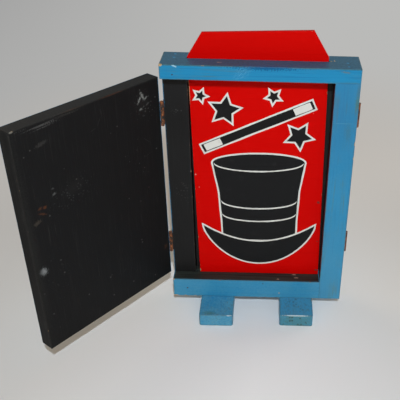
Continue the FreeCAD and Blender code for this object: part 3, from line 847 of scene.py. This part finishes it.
@dataclass(frozen=True)
class Cabinet:
    """The painted box: its boards, feet, doors and hinge ware."""

    front_door_angle: float = -127.5
    rear_door_angle: float = 180.0
    door_blue: frozenset[Face] = frozenset({Face.FRONT, Face.LEFT})
    hinge_levels: Pair = (188.0, 64.5)
    steel: RustySteel = RustySteel()

    @staticmethod
    def door_bench(hinge: str, angle: float) -> Bench:
        """Return the frame of a door as it is drawn shut, turned by degrees about its hinge's upright pin."""
        x, y, _ = joint(hinge)["pos_m"]
        return Bench((x, y, 0.0), (0.0, 0.0, math.radians(angle)))

    @staticmethod
    def top_board() -> PaintedBoard:
        """Describe the top board, with painted shade and a few chips on its upper face.

        Returns:
            The board's finish.
        """
        marks = (
            edge_chip((-75.8, 232.6), (2.4, 1.3), depth=0.4, reach=2.0),
            on_front((4.0, 232.0), (32.0, 2.2), DEEP_BLUE,
                     strength=0.9, uneven=1.7, core=0.3, depth=0.1, reach=3.0),
            on_front((-14.0, 228.0), (11.0, 6.5), PALE_BLUE,
                     turn=-40.0, strength=0.7, uneven=0.5, core=0.0, hatch=22.0),
            on_front((-64.8, 232.0), (2.6, 0.7), (0.28, 0.50, 0.62), turn=20.0),
            on_front((-66.6, 225.2), (0.7, 0.7), DARK_SPOT),
            on_front((64.1, 230.4), (4.0, 0.9), (0.10, 0.17, 0.20), turn=12.0, strength=0.8, uneven=1.3),
            on_top((56.5, 2.8), (0.7, 1.2), PALE_WOOD),
            on_top((53.8, 1.5), (1.8, 0.6), PALE_WOOD, strength=0.7),
            on_top((-31.7, -6.6), (2.4, 0.7), (0.42, 0.36, 0.26), strength=0.8),
        )
        blue = OUTSIDE - {Face.UNDER}
        return PaintedBoard("top_board", Axis.X, blue, marks=marks, grime=0.8, top_shade=0.70, shine=0.15,
                            relief=0.07)

    @staticmethod
    def bottom_board() -> PaintedBoard:
        """Describe the bottom board, black and rubbed brown on its upper face.

        Returns:
            The board's finish.
        """
        inside = partial(on_top, reach=0.6)
        marks = (
            edge_chip((-74.5, 12.4), (3.0, 0.9), depth=0.3, reach=1.5),
            edge_chip((-65.5, 12.3), (1.6, 0.8)),
            edge_chip((-57.0, 12.3), (1.4, 0.6)),
            edge_chip((-75.9, 30.7), (0.9, 0.9)),
            on_front((-63.7, 21.2), (1.1, 0.8), DARK_SPOT),
            on_front((5.4, 28.0), (0.8, 0.8), DARK_SPOT, strength=0.7),
            on_front((20.4, 17.5), (0.7, 0.8), (0.45, 0.36, 0.24)),
            inside((33.9, -3.9), (2.4, 0.9), BROWN_RUB),
            inside((35.6, -8.6), (2.2, 0.9), BROWN_RUB),
            inside((19.0, -11.1), (1.4, 0.9), BROWN_RUB),
            inside((-56.0, -1.2), (1.6, 0.7), PALE_WOOD),
        )
        blue, joined = OUTSIDE - {Face.TOP}, frozenset({Face.RIGHT})
        return PaintedBoard("bottom_board", Axis.X, blue, joined=joined, marks=marks, grime=0.30, brown=0.9,
                            fade=0.12)

    def left_side(self) -> PaintedBoard:
        """Describe the left side, black in front and worn round its hinges.

        Returns:
            The board's finish.
        """
        worn = partial(on_front, colour=WORN_BLACK, depth=-0.1)
        by_hinge = partial(worn, size=(1.4, 12.5), strength=0.95, uneven=0.5, reach=2.6)
        dotted = partial(on_front, strength=0.9, uneven=1.4, core=0.3)
        left = -76.5
        marks = (
            *(by_hinge((left, level)) for level in self.hinge_levels),
            worn((left, 148.0), (1.0, 32.0), strength=0.8, reach=1.6),
            on_front((-66.0, 182.0), (30.0, 30.0), BLACK.thick,
                     strength=0.55, uneven=0.3, core=0.0, reach=3.0),
            dotted((-66.0, 192.0), (6.0, 5.0), (0.040, 0.040, 0.038), dots=2.2),
            dotted((-64.0, 116.0), (9.0, 14.0), (0.034, 0.033, 0.030), dots=2.4),
        )
        blue, joined = frozenset({Face.LEFT, Face.BACK}), frozenset({Face.UNDER, Face.TOP})
        return PaintedBoard("left_side", Axis.Z, blue, joined=joined, marks=marks, wear=0.8, shine=0.20)

    @staticmethod
    def right_side() -> PaintedBoard:
        """Describe the right side, with painted shade that darkens it above and painted light that pales it
        below.

        Returns:
            The board's finish.
        """
        middle = 66.5
        line = partial(on_front, uneven=0.5)
        painted_falloff = partial(on_front, size=(40.0, 90.0), uneven=0.2, core=0.0, reach=3.0)
        blotch = partial(on_front, strength=0.5, core=0.1)
        chip = partial(edge_chip, reach=0.9)
        marks = (
            line((66.0, 188.6), (9.6, 0.32), (0.13, 0.38, 0.52), strength=0.75),
            line((middle, 221.4), (10.0, 0.35), DEEP_BLUE, strength=0.7),
            # Painted shade darkens the upper part and painted light pales the lower part
            painted_falloff((middle, 200.0), colour=(0.016, 0.150, 0.320), strength=0.5),
            painted_falloff((middle, 30.0), colour=(0.085, 0.310, 0.470), strength=0.35),
            blotch((75.0, 206.0), (2.5, 10.0), GREEN_BLOTCH, uneven=1.2),
            blotch((70.0, 181.0), (3.5, 11.0), (0.045, 0.150, 0.190), uneven=1.4),
            chip((76.4, 171.0), (0.7, 2.2)),
            chip((76.4, 158.0), (0.6, 1.4)),
        )
        blue = OUTSIDE - {Face.LEFT, Face.TOP}
        joined = frozenset({Face.TOP})
        return PaintedBoard("right_side", Axis.Z, blue, joined=joined, marks=marks, grime=1.25, fade=0.05)

    @staticmethod
    def feet() -> list[PaintedBoard]:
        """Describe the feet, stained, with a painted highlight along their front edges.

        Returns:
            Finishes of the left and the right foot.
        """
        # Painted highlight: a pale line along the front-top edge of each foot
        rubbed = partial(on_front, colour=ARRIS_HIGHLIGHT, depth=0.3, reach=0.6)
        dotted = partial(Mark, colour=OLIVE, core=0.4)
        foot = partial(PaintedBoard, grain=Axis.Y, blue=OUTSIDE, stroke_across=0.5)
        left_marks = (
            on_top((-42.0, -38.5), (8.0, 3.5), GREEN_BLOTCH, strength=0.6, uneven=1.3, core=0.1, reach=1.2),
            # Painted highlight on the left foot's front-top edge
            rubbed((-24.5, 11.8), (2.8, 0.6), uneven=0.6),
        )
        right_marks = (
            on_front((36.0, 6.0), (24.0, 14.0), GREEN_BLOTCH, strength=0.45, core=0.4),
            dotted(Face.FRONT, (36.0, 5.5), (18.0, 9.0), strength=0.8, dots=3.2, dot_radius=1.25),
            dotted(Face.TOP, (36.0, -20.0), (15.0, 22.0), strength=0.45, dots=4.5, dot_radius=1.3),
            # Painted highlight on the right foot's front-top edge
            rubbed((36.0, 11.8), (15.0, 0.6), uneven=0.7),
        )
        return [
            foot("left_foot", marks=left_marks, grime=0.25, stain=0.45, fade=0.30),
            foot("right_foot", marks=right_marks, grime=0.15, stain=0.50, fade=0.16),
        ]

    def doors(self) -> list[PaintedBoard]:
        """Describe the doors, black inside and blue outside.

        Returns:
            Finishes of the front and the rear door.
        """
        door = partial(PaintedBoard, grain=Axis.Z, blue=self.door_blue, layered=True, grime=0.35)
        front_bench = self.door_bench("front_door_hinge", self.front_door_angle)
        rear_bench = self.door_bench("rear_door_hinge", self.rear_door_angle)
        return [
            door("front_door", bench=front_bench, marks=self.door_marks(), shine=0.10),
            door("rear_door", bench=rear_bench),
        ]

    @staticmethod
    def door_marks() -> tuple[Mark, ...]:
        """Describe the wear on the inside of the front door, and the painted shade on its free edge.

        Returns:
            Its scuffs, scratches and rust, and the painted shade on its free edge.
        """
        white, pale, grey = (0.19, 0.20, 0.19), (0.060, 0.061, 0.060), (0.022, 0.022, 0.022)
        rust, bare = (0.070, 0.026, 0.012), (0.20, 0.19, 0.16)
        # The second colour on this line is painted shade for the free edge
        dull, painted_edge_shade = (0.016, 0.016, 0.015), (0.0015, 0.0015, 0.0016)
        # Place, half sizes, colour, turn in degrees and strength of each scuff
        spots = (
            ((20.0, 203.0), (10.0, 13.0), (0.013, 0.013, 0.013), 10.0, 0.8),
            ((19.5, 209.0), (1.5, 5.0), white, 25.0, 1.0),
            ((22.5, 206.5), (1.2, 4.4), white, -35.0, 1.0),
            ((16.5, 206.0), (3.0, 1.2), white, 25.0, 0.8),
            ((21.6, 198.6), (1.7, 1.3), white, 0.0, 1.0),
            ((14.5, 201.0), (2.6, 1.0), pale, 30.0, 0.9),
            ((59.6, 209.0), (0.45, 4.2), grey, 5.0, 0.9),
            ((62.5, 202.0), (0.45, 4.4), grey, -30.0, 0.9),
            ((68.5, 197.8), (3.6, 0.45), grey, 15.0, 0.8),
            ((121.9, 156.1), (3.0, 1.4), rust, 20.0, 0.8),
            ((117.8, 155.4), (2.0, 1.8), rust, 0.0, 1.0),
            ((120.5, 151.2), (4.5, 1.2), rust, -25.0, 0.7),
            ((126.0, 146.0), (4.6, 2.4), (0.045, 0.038, 0.030), 20.0, 0.9),
            ((128.6, 104.7), (4.2, 4.6), (0.20, 0.215, 0.22), 30.0, 1.0),
            ((108.5, 162.3), (2.4, 1.4), (0.075, 0.078, 0.076), 15.0, 1.0),
            ((109.0, 167.0), (1.7, 1.0), pale, 0.0, 1.0),
            ((92.0, 160.0), (14.0, 7.0), (0.012, 0.012, 0.012), 20.0, 0.8),
            ((112.7, 106.6), (1.0, 0.9), pale, 0.0, 1.0),
            ((131.1, 85.3), (0.9, 0.9), pale, 0.0, 0.9),
            ((127.0, 63.0), (1.0, 0.9), pale, 0.0, 0.9),
            ((18.0, 171.0), (0.4, 6.5), grey, 48.0, 1.0),
            ((18.0, 158.5), (6.0, 0.35), grey, 22.0, 0.8),
            ((20.3, 129.3), (1.8, 0.5), (0.045, 0.026, 0.023), -20.0, 0.9),
            ((30.2, 120.4), (0.5, 0.8), pale, 0.0, 1.0),
            ((31.0, 104.0), (0.45, 8.0), grey, 2.0, 0.7),
            ((54.7, 63.0), (3.0, 0.45), grey, 35.0, 1.0),
            ((68.4, 66.4), (1.4, 0.45), pale, 15.0, 0.8),
            ((112.0, 203.0), (6.5, 2.2), (0.030, 0.029, 0.028), 12.0, 0.9),
            ((132.2, 218.6), (2.2, 0.9), bare, 0.0, 0.9),
            ((84.0, 218.9), (12.0, 0.8), (0.045, 0.030, 0.022), 0.0, 0.7),
            ((48.0, 218.9), (16.0, 0.9), (0.050, 0.022, 0.014), 0.0, 0.8),
            ((6.4, 62.5), (2.4, 3.4), (0.05, 0.024, 0.015), 0.0, 0.8),
        )
        inside = partial(Mark, Face.BACK)
        hatched = partial(inside, core=0.1)
        dotted = partial(inside, uneven=1.2, core=0.2)
        faint = partial(Mark, uneven=0.3, core=0.0, reach=1.2)
        scuffs = [inside(*spot, uneven=1.1, core=0.2) for spot in spots]
        return (
            *scuffs,
            hatched((112.0, 216.5), (18.0, 5.0), (0.066, 0.066, 0.064), 3.0, 0.9, uneven=1.6, hatch=3.0),
            hatched((94.0, 217.6), (18.0, 2.6), (0.040, 0.038, 0.034), 0.0, 0.8, uneven=1.5, hatch=4.0),
            inside((93.0, 157.0), (26.0, 15.0), (0.034, 0.034, 0.034), 15.0, uneven=1.4, core=0.0, dots=2.2),
            dotted((26.0, 150.0), (7.0, 36.0), pale, strength=0.7, uneven=1.4, dots=3.8),
            dotted((18.0, 200.0), (13.0, 14.0), pale, strength=0.9, dots=2.4),
            dotted((118.0, 96.0), (16.0, 30.0), grey, strength=0.9, dots=3.0),
            faint(Face.TOP, (68.0, -6.0), (90.0, 9.0), (0.018, 0.019, 0.020), strength=0.5),
            # Painted shade: darkens the door's free edge
            faint(Face.RIGHT, (-7.0, 120.0), (11.0, 190.0), painted_edge_shade, strength=0.9, depth=0.5),
            inside((133.0, 120.0), (6.0, 120.0), dull, strength=0.7, uneven=1.3, core=0.0, reach=1.6),
        )

    @staticmethod
    def nails() -> list[PaintedBoard]:
        """Return the heads of the brads, painted over with the boards."""
        names = ("top_nails", "base_nails")
        return [PaintedBoard(name, Axis.X, OUTSIDE, wear=0.0, stain=0.3) for name in names]

    def dress(self) -> None:
        """Paint the boards and give the hinge ware its rust."""
        boards = [self.top_board(), self.bottom_board(), self.left_side(), self.right_side()]
        for board in (*boards, *self.feet(), *self.doors(), *self.nails()):
            set_material(board.node, board.dress())
        steel = self.steel.dress()
        for name in sorted(frame["nodes"]):
            if name.endswith(("leaf", "pin", "screws")):
                set_material(name, steel)


def arc(start: float, end: float, count: int) -> list[float]:
    """Return evenly spaced angles in radians between two angles in degrees."""
    return [math.radians(start + (end - start) * number / count) for number in range(count + 1)]


def hanging(half: float, tip: float, dip: float, power: float, angles: list[float]) -> Outline:
    """Return a curve that dips between two tips, at angles from its middle; the power sharpens its tips."""
    return [(half * math.sin(turn), tip - dip * math.cos(turn) ** power) for turn in angles]


@dataclass(frozen=True)
class Hat:
    """Drawing of a top hat, in millimetres across and up from the panel's foot.

    The sides of the crown are half widths with their heights.
    Each band has a height, half its length and a width.
    """

    sides: tuple[Pair, ...] = ((32.0, 38.0), (32.3, 58.0), (34.0, 88.0), (38.5, 115.0))
    bands: tuple[Triple, ...] = ((58.0, 32.2, 1.3), (71.0, 32.6, 1.3), (107.5, 37.6, 1.2))
    sag: float = 8.0
    steps: int = 20
    brim_half: float = 49.0
    brim_tip: float = 53.0
    brim_dip: float = 17.0
    brim_drop: float = 40.0
    brim_steps: int = 28

    def crown(self) -> Outline:
        """Draw the crown, with a round top.

        Returns:
            Its outline.
        """
        half, height = self.sides[-1]
        turns = arc(180.0, 0.0, self.steps)
        rim = [(half * math.cos(turn), height + self.sag * math.sin(turn)) for turn in turns]
        return [(-x, y) for x, y in self.sides] + rim[1:-1] + [*reversed(self.sides)]

    def brim(self) -> Outline:
        """Draw the brim, which hangs from its two tips.

        Returns:
            Its outline.
        """
        upper = hanging(self.brim_half, self.brim_tip, self.brim_dip, 2.0, arc(-90.0, 90.0, self.brim_steps))
        lower = hanging(self.brim_half, self.brim_tip, self.brim_drop, 1.4, arc(89.0, -89.0, self.brim_steps))
        return upper + lower[1:-1]

    def band(self, height: float, half: float, width: float) -> Outline:
        """Return a line round the crown from its height, half its length and its width."""
        upper = hanging(half, height + self.sag, self.sag, 1.0, arc(-86.0, 86.0, self.steps))
        return [(x, y - width) for x, y in reversed(upper)] + upper


@dataclass(frozen=True)
class Wand:
    """Drawing of a wand like the hat's, with white ends that are given in shares of its length."""

    foot: Pair = (-46.0, 128.0)
    tip: Pair = (44.0, 167.0)
    half: float = 3.6
    end_half: float = 3.0
    ends: tuple[Pair, Pair] = ((0.02, 0.17), (0.83, 0.98))

    def stretch(self, start: float, end: float, half: float) -> Outline:
        """Draw a stretch of the wand.

        Args:
            start: Share of the wand's length where it starts.
            end: Share where it ends.
            half: Half its width.

        Returns:
            Its outline.
        """
        foot, tip = Vector(self.foot), Vector(self.tip)
        first, last = foot.lerp(tip, start), foot.lerp(tip, end)
        side = (tip - foot).orthogonal().normalized() * half
        return [tuple(point) for point in (first + side, first - side, last - side, last + side)]


class Coat(IntEnum):
    """Coats of the picture, counted from the panel."""

    LINES = 1
    FIELDS = 2
    UPPER_LINES = 3
    UPPER_FIELDS = 4


@dataclass(frozen=True)
class PicturePanel:
    """The loose panel and the picture painted on its front."""

    node: str = "picture_panel"
    body: str = "panel"
    coat: float = 0.04
    line: float = 1.5
    step: float = 1.2
    wobble: float = 0.22
    wander: Pair = (0.05, 0.30)
    waves: int = 4
    seed: int = 7
    hat: Hat = Hat()
    wand: Wand = Wand()
    star_tips: int = 5
    star_inner: float = 0.5
    star_spots: tuple[Pair, ...] = ((33.0, 139.5), (-27.0, 162.0), (12.0, 173.5), (-46.0, 174.0))
    star_radii: tuple[float, ...] = (11.0, 12.0, 5.5, 4.5)
    star_turns: tuple[float, ...] = (12.0, -8.0, 25.0, 5.0)
    weld: float = 1e-4

    @cached_property
    def bench(self) -> Bench:
        """Find the panel's leaning frame from the direction in which it slides.

        Returns:
            The frame.
        """
        x, y, z = joint("panel_slide")["axis"]
        low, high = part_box(self.node)
        middle = (low + high) / 2
        turned = Matrix.Rotation(-math.atan2(y, z), 3, "X") @ Matrix.Rotation(math.asin(x), 3, "Y")
        return Bench(tuple(middle), tuple(turned.to_euler()))

    @cached_property
    def low(self) -> Vector:
        """The panel's lowest corner in its own frame."""
        return self.bench.bounds(self.node)[0]

    def stars(self, name: str, line: float, coat: Coat, material: Material) -> Mesh:
        """Build the stars of one coat in the CAD frame.

        Args:
            name: Name of the mesh.
            line: Width by which the stars are larger than drawn.
            coat: Coat that they belong to.
            material: Paint of the stars.

        Returns:
            The mesh.
        """
        inner, sharp = self.star_inner, math.pi / self.star_tips
        inputs = {"Tips": self.star_tips, "Inner Radius": inner, "Thickness": self.coat * coat}
        pattern = Pattern(name, inputs)
        given = pattern.given
        shape = {"Points": given["Tips"], "Inner Radius": given["Inner Radius"], "Outer Radius": 1.0}
        outline = pattern.node("GeometryNodeCurveStar", shape)["Curve"]
        flat = pattern.node("GeometryNodeFillCurve", {"Curve": outline})[0]
        depth = {"Mesh": flat, "Offset Scale": given["Thickness"], "Individual": False}
        raised = pattern.node("GeometryNodeExtrudeMesh", depth, mode="FACES")["Mesh"]
        lower = pattern.node("GeometryNodeFlipFaces", {"Mesh": flat})[0]
        closed = pattern.node("GeometryNodeJoinGeometry", {"Geometry": [raised, lower]})[0]
        merging = {"Geometry": closed, "Distance": self.weld}
        solid = pattern.node("GeometryNodeMergeByDistance", merging)[0]
        turn = pattern.node("ShaderNodeCombineXYZ", {"X": math.pi / 2, "Y": pattern.named("spin")})[0]
        size = pattern.named("size")
        scale = pattern.node("ShaderNodeCombineXYZ", {"X": size, "Y": size, "Z": 1.0})[0]

        # Distance from the middle of a star to the lines of its edges, for tips at radius 1
        edge = inner * math.sin(sharp) / math.sqrt(1.0 + inner**2 - 2.0 * inner * math.cos(sharp))
        points = [(x, self.low.y, self.low.z + y) for x, y in self.star_spots]
        values = {
            "size": [radius + line / edge for radius in self.star_radii],
            "spin": [math.radians(angle) for angle in self.star_turns],
        }
        mesh = pattern.run(solid, turn, scale, points, values, material)
        mesh.transform(self.bench.matrix())
        return mesh

    @staticmethod
    def grown(outline: Outline, amount: float) -> Outline:
        """Return an outline moved outwards, with blunted points.

        Args:
            outline: Closed outline, in either direction.
            amount: Distance to move.

        Returns:
            The larger outline.
        """
        bluntest = 0.5
        points = [Vector(point) for point in outline]
        count = len(points)
        area = sum(points[number - 1].cross(points[number]) for number in range(count))
        sign = 1.0 if area > 0 else -1.0
        moved = []
        for number, point in enumerate(points):
            before = (point - points[number - 1]).normalized()
            after = (points[(number + 1) % count] - point).normalized()
            normal = Vector((before.y + after.y, -before.x - after.x)) * sign
            normal.normalize()
            lean = max(bluntest, normal.dot(Vector((before.y, -before.x)) * sign))
            moved.append(tuple(point + normal * (amount / lean)))
        return moved

    def brushed(self, outline: Outline, rng: random.Random) -> Outline:
        """Return an outline with the small wander of a brush.

        Args:
            outline: Closed outline.
            rng: Source of the wander.

        Returns:
            The outline in short steps.
        """
        straight = 3
        phases = [(rng.uniform(*self.wander), rng.uniform(0.0, math.tau)) for _ in range(self.waves)]
        steps = []
        travel = 0.0
        for number, point in enumerate(outline):
            start, end = Vector(outline[number - 1]), Vector(point)
            length = (end - start).length
            pieces = max(1, round(length / self.step))
            side = (end - start).orthogonal().normalized() if length else Vector((0.0, 0.0))
            for piece in range(pieces):
                share = piece / pieces
                fade = math.sin(math.pi * share) if pieces > straight else 0.0
                way = travel + length * share
                wave = sum(math.sin(way * pace + phase) for pace, phase in phases) / len(phases)
                steps.append(tuple(start.lerp(end, share) + side * (wave * fade * self.wobble)))
            travel += length
        return steps

    def mesh(self, name: str, slabs: list[tuple[Outline, Coat]]) -> Mesh:
        """Build thin slabs of paint as one mesh in the CAD frame.

        Args:
            name: Name of the mesh.
            slabs: Outlines, across and up from the panel's foot, with their coats.

        Returns:
            The mesh.
        """
        shape = bmesh.new()
        for outline, coat in slabs:
            corners = [shape.verts.new((x, self.low.y, self.low.z + y)) for x, y in outline]
            base = shape.faces.new(corners)
            raised = bmesh.ops.extrude_face_region(shape, geom=[base])["geom"]
            lifted = [item for item in raised if isinstance(item, bmesh.types.BMVert)]
            bmesh.ops.translate(shape, verts=lifted, vec=(0.0, -self.coat * coat, 0.0))
        bmesh.ops.triangulate(shape, faces=shape.faces[:], ngon_method="EAR_CLIP")
        bmesh.ops.transform(shape, matrix=self.bench.matrix(), verts=shape.verts[:])
        bmesh.ops.recalc_face_normals(shape, faces=shape.faces[:])
        made = bpy.data.meshes.new(name)
        shape.to_mesh(made)
        shape.free()
        return made

    def marks(self) -> tuple[Mark, ...]:
        """Describe the wear on the panel's front.

        Returns:
            Its smudges and rubbed edges.
        """
        left, foot = self.low.x, self.low.z
        smudge = partial(on_front, colour=SMUDGE, reach=0.5)
        rubbed = partial(on_front, colour=BARE_EDGE)
        return (
            smudge((51.3, foot + 77.1), (1.7, 1.5), strength=0.8),
            smudge((52.1, foot + 4.9), (1.7, 0.8), strength=0.9),
            smudge((52.2, foot + 36.5), (1.1, 0.5), strength=0.8),
            on_front((44.2, foot + 159.6), (0.4, 0.4), (0.62, 0.20, 0.16), reach=0.5),
            rubbed((left, foot + 178.0), (0.7, 14.0), strength=0.8, uneven=0.5, reach=1.4),
            rubbed((left, foot + 4.5), (1.2, 1.8)),
            on_front((left + 2.0, foot + 90.0), (2.4, 45.0), (0.62, 0.36, 0.30), dots=5.0, reach=0.6),
        )

    def dress(self) -> None:
        """Paint the panel and add its picture."""
        set_material(self.node, PaintedPanel(self.node, self.bench, self.marks()).dress())

        rng = random.Random(self.seed)
        wand = self.wand.stretch(0.0, 1.0, self.wand.half)
        shapes = (
            (self.hat.crown(), Coat.LINES, Coat.FIELDS),
            (self.hat.brim(), Coat.UPPER_LINES, Coat.UPPER_FIELDS),
            (wand, Coat.LINES, Coat.FIELDS),
        )
        details = [self.hat.band(*band) for band in self.hat.bands]
        details += [self.wand.stretch(*end, self.wand.end_half) for end in self.wand.ends]
        white = [(self.brushed(self.grown(shape, self.line), rng), lines) for shape, lines, _ in shapes]
        white += [(self.brushed(detail, rng), Coat.UPPER_LINES) for detail in details]
        black = [(self.brushed(shape, rng), fields) for shape, _, fields in shapes]

        chalk_colours = (0.70, 0.70, 0.66), (0.42, 0.40, 0.36)
        ink_colours = (0.0068, 0.0072, 0.0078), (0.018, 0.019, 0.020)
        chalk = PlainPaint("picture_white", *chalk_colours, 0.5, self.bench).dress()
        ink = PlainPaint("picture_black", *ink_colours, 0.46, self.bench).dress()
        white_lines = self.mesh("picture_white_lines", white)
        black_fields = self.mesh("picture_black_fields", black)
        white_stars = self.stars("picture_white_stars", self.line, Coat.LINES, chalk)
        black_stars = self.stars("picture_black_stars", 0.0, Coat.FIELDS, ink)
        add_piece("picture_white_lines", white_lines, chalk, self.body)
        add_piece("picture_black_fields", black_fields, ink, self.body)
        add_piece("picture_white_stars", white_stars, chalk, self.body)
        add_piece("picture_black_stars", black_stars, ink, self.body)


COOL_LIGHT = (0.89, 1.0, 1.11)
WARM_LIGHT = (1.0, 0.80, 0.57)
MILD_LIGHT = (1.0, 0.85, 0.66)
PALE_LIGHT = (1.0, 0.91, 0.82)


@dataclass(frozen=True)
class Lamp:
    """A square lamp that faces the object: its place, the length of its side, its watts and its colour."""

    name: str
    spot: Triple
    size: float
    power: float
    colour: Colour
    target: Triple = (0.0, 0.0, 0.12)

    def hang(self) -> None:
        """Add the lamp to the scene."""
        data = bpy.data.lights.new(self.name, "AREA")
        data.color = self.colour
        data.size = self.size
        data.energy = self.power
        lamp = put(self.name, data)
        lamp.location = self.spot
        way = Vector(self.target) - Vector(self.spot)
        lamp.rotation_euler = way.to_track_quat("-Z", "Y").to_euler()


@dataclass(frozen=True)
class Studio:
    """Camera, lights, floor and backdrop."""

    eye: Triple = (0.006764, -0.502391, 0.410465)
    aim: Triple = (56.8457, -1.4162, 0.3585)
    lens: float = 60.8386
    shift: Pair = (-0.17865, 0.06324)
    sensor: float = 36.0
    near: float = 0.01
    flash_foot: Triple = (-0.12, -0.055, 0.03)
    flash_lift: float = 0.11
    flash_reach: float = 1.3
    flash_size: float = 0.02
    flash_power: float = 4.5
    soft_lamps: tuple[Lamp, ...] = (
        Lamp("front_light", (0.1, -1.6, 0.45), 1.2, 3.9, WARM_LIGHT),
        Lamp("left_light", (-1.4, 1.0, 0.5), 1.0, 10.0, MILD_LIGHT),
        Lamp("right_light", (1.4, 1.0, 0.5), 1.0, 10.0, PALE_LIGHT),
    )
    sky_levels: Pair = (0.335, 0.135)
    sky_rise: Pair = (0.0, 0.8)
    floor_half: float = 6.0
    floor_colour: Colour = (0.938, 0.925, 0.912)
    # Colour of the painted shade at the floor's sides
    floor_side_shade: Colour = (0.756, 0.745, 0.734)
    side_span: Pair = (0.0, 0.25)
    side_end: Pair = (0.30, 0.10)
    # Glow tone to the left, darker as painted falloff of the light
    far_left: Colour = (0.375, 0.375, 0.372)
    far_right: Colour = (0.490, 0.490, 0.480)
    far_span: Pair = (0.10, 0.75)
    far_stretch: Triple = (1.3, 1.0, 1.0)
    right_span: Pair = (-0.6, -0.05)
    horizon_span: Pair = (1.8, 3.0)

    def camera(self) -> None:
        """Set the camera at the photograph's viewing angle."""
        data = bpy.data.cameras.new("portrait")
        data.sensor_width = self.sensor
        data.sensor_fit = "HORIZONTAL"
        data.lens = self.lens
        data.shift_x, data.shift_y = self.shift
        data.clip_start = self.near
        camera = put("portrait", data)
        camera.location = self.eye
        camera.rotation_euler = [math.radians(angle) for angle in self.aim]
        bpy.context.scene.camera = camera

    def lamps(self) -> None:
        """Light the object from just above the lens, with low soft lights before and behind it."""
        above = Vector(self.eye) + Vector((0.0, 0.0, self.flash_lift))
        spot = Vector(self.flash_foot).lerp(above, self.flash_reach)
        flash = Lamp("flash", tuple(spot), self.flash_size, self.flash_power, COOL_LIGHT)
        for lamp in (flash, *self.soft_lamps):
            lamp.hang()

    @staticmethod
    def seen(bench: NodeBench) -> Signal:
        """Tell which rays show the background, straight, mirrored or through glass.

        Args:
            bench: Node tree to work in.

        Returns:
            1 on such rays and 0 on others.
        """
        paths = bench.node("ShaderNodeLightPath")
        kinds = ("Camera", "Glossy", "Transmission")
        straight, mirrored, through = (Signal(bench, paths[f"Is {kind} Ray"]) for kind in kinds)
        return straight.most(mirrored).most(through)

    def world(self) -> None:
        """Make a soft surround that is darker overhead and pale to the camera."""
        world = bpy.data.worlds.new("surround")
        bpy.context.scene.world = world
        world.use_nodes = True
        bench = NodeBench(world.node_tree)
        *_, up = bench.parts(bench.node("ShaderNodeTexCoord")["Generated"])
        low, high = (tuple(Vector(WARM_LIGHT) * level) for level in self.sky_levels)
        sky = bench.blend(up.ramp(*self.sky_rise), low, high)
        soft = bench.node("ShaderNodeBackground", {"Color": sky})[0]
        plain = bench.node("ShaderNodeBackground", {"Color": self.far_right})[0]
        mixed = bench.node("ShaderNodeMixShader", {0: self.seen(bench), 1: soft, 2: plain})[0]
        bench.node("ShaderNodeOutputWorld", {"Surface": mixed})

    def paper(self) -> Material:
        """Make the floor's paper, which glows to the camera far from the lamp and has painted shade to its
        left and sides.

        Returns:
            The material.
        """
        material = bpy.data.materials.new("floor_paper")
        material.use_nodes = True
        bench = NodeBench(material.node_tree)
        spots = bench.node("ShaderNodeTexCoord")["Object"]
        across, deep, _ = bench.parts(spots)
        reach = bench.length(bench.scaled(spots, self.far_stretch))
        share = reach.ramp(*self.far_span) * self.seen(bench)
        # The glow is darker to the left: painted falloff of the lamp's light
        right = across.ramp(*self.right_span, Step.EVEN).most(reach.ramp(*self.horizon_span, Step.EVEN))
        tone = bench.blend(right, self.far_left, self.far_right)
        # Painted shade: the paper is darker to the sides near the front
        side_shade = across.most(0.0 - across).ramp(*self.side_span, Step.EVEN) * deep.ramp(*self.side_end)
        white = bench.blend(side_shade, self.floor_colour, self.floor_side_shade)
        plain = bench.node("ShaderNodeBsdfDiffuse", {"Color": white})[0]
        glow = bench.node("ShaderNodeEmission", {"Color": tone})[0]
        mixed = bench.node("ShaderNodeMixShader", {0: share, 1: plain, 2: glow})[0]
        bench.node("ShaderNodeOutputMaterial", {"Surface": mixed})
        return material

    def floor(self) -> None:
        """Lay a pale floor that stays pale far from the lamp."""
        half = self.floor_half
        corners = [(-half, -half, 0), (half, -half, 0), (half, half, 0), (-half, half, 0)]
        mesh = bpy.data.meshes.new("floor")
        mesh.from_pydata(corners, [], [(0, 1, 2, 3)])
        mesh.materials.append(self.paper())
        floor = put("floor", mesh)

    def build(self) -> None:
        """Set up the whole studio."""
        bpy.context.scene.view_settings.view_transform = "Standard"
        self.camera()
        self.lamps()
        self.world()
        self.floor()
        LOG.info("studio is set")


def main() -> None:
    """Build the studio and dress the cabinet and its panel."""
    logging.basicConfig(level=logging.INFO, format="%(name)s: %(message)s")
    Studio().build()
    Cabinet().dress()
    PicturePanel().dress()
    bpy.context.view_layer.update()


if __name__ == "__main__":
    main()
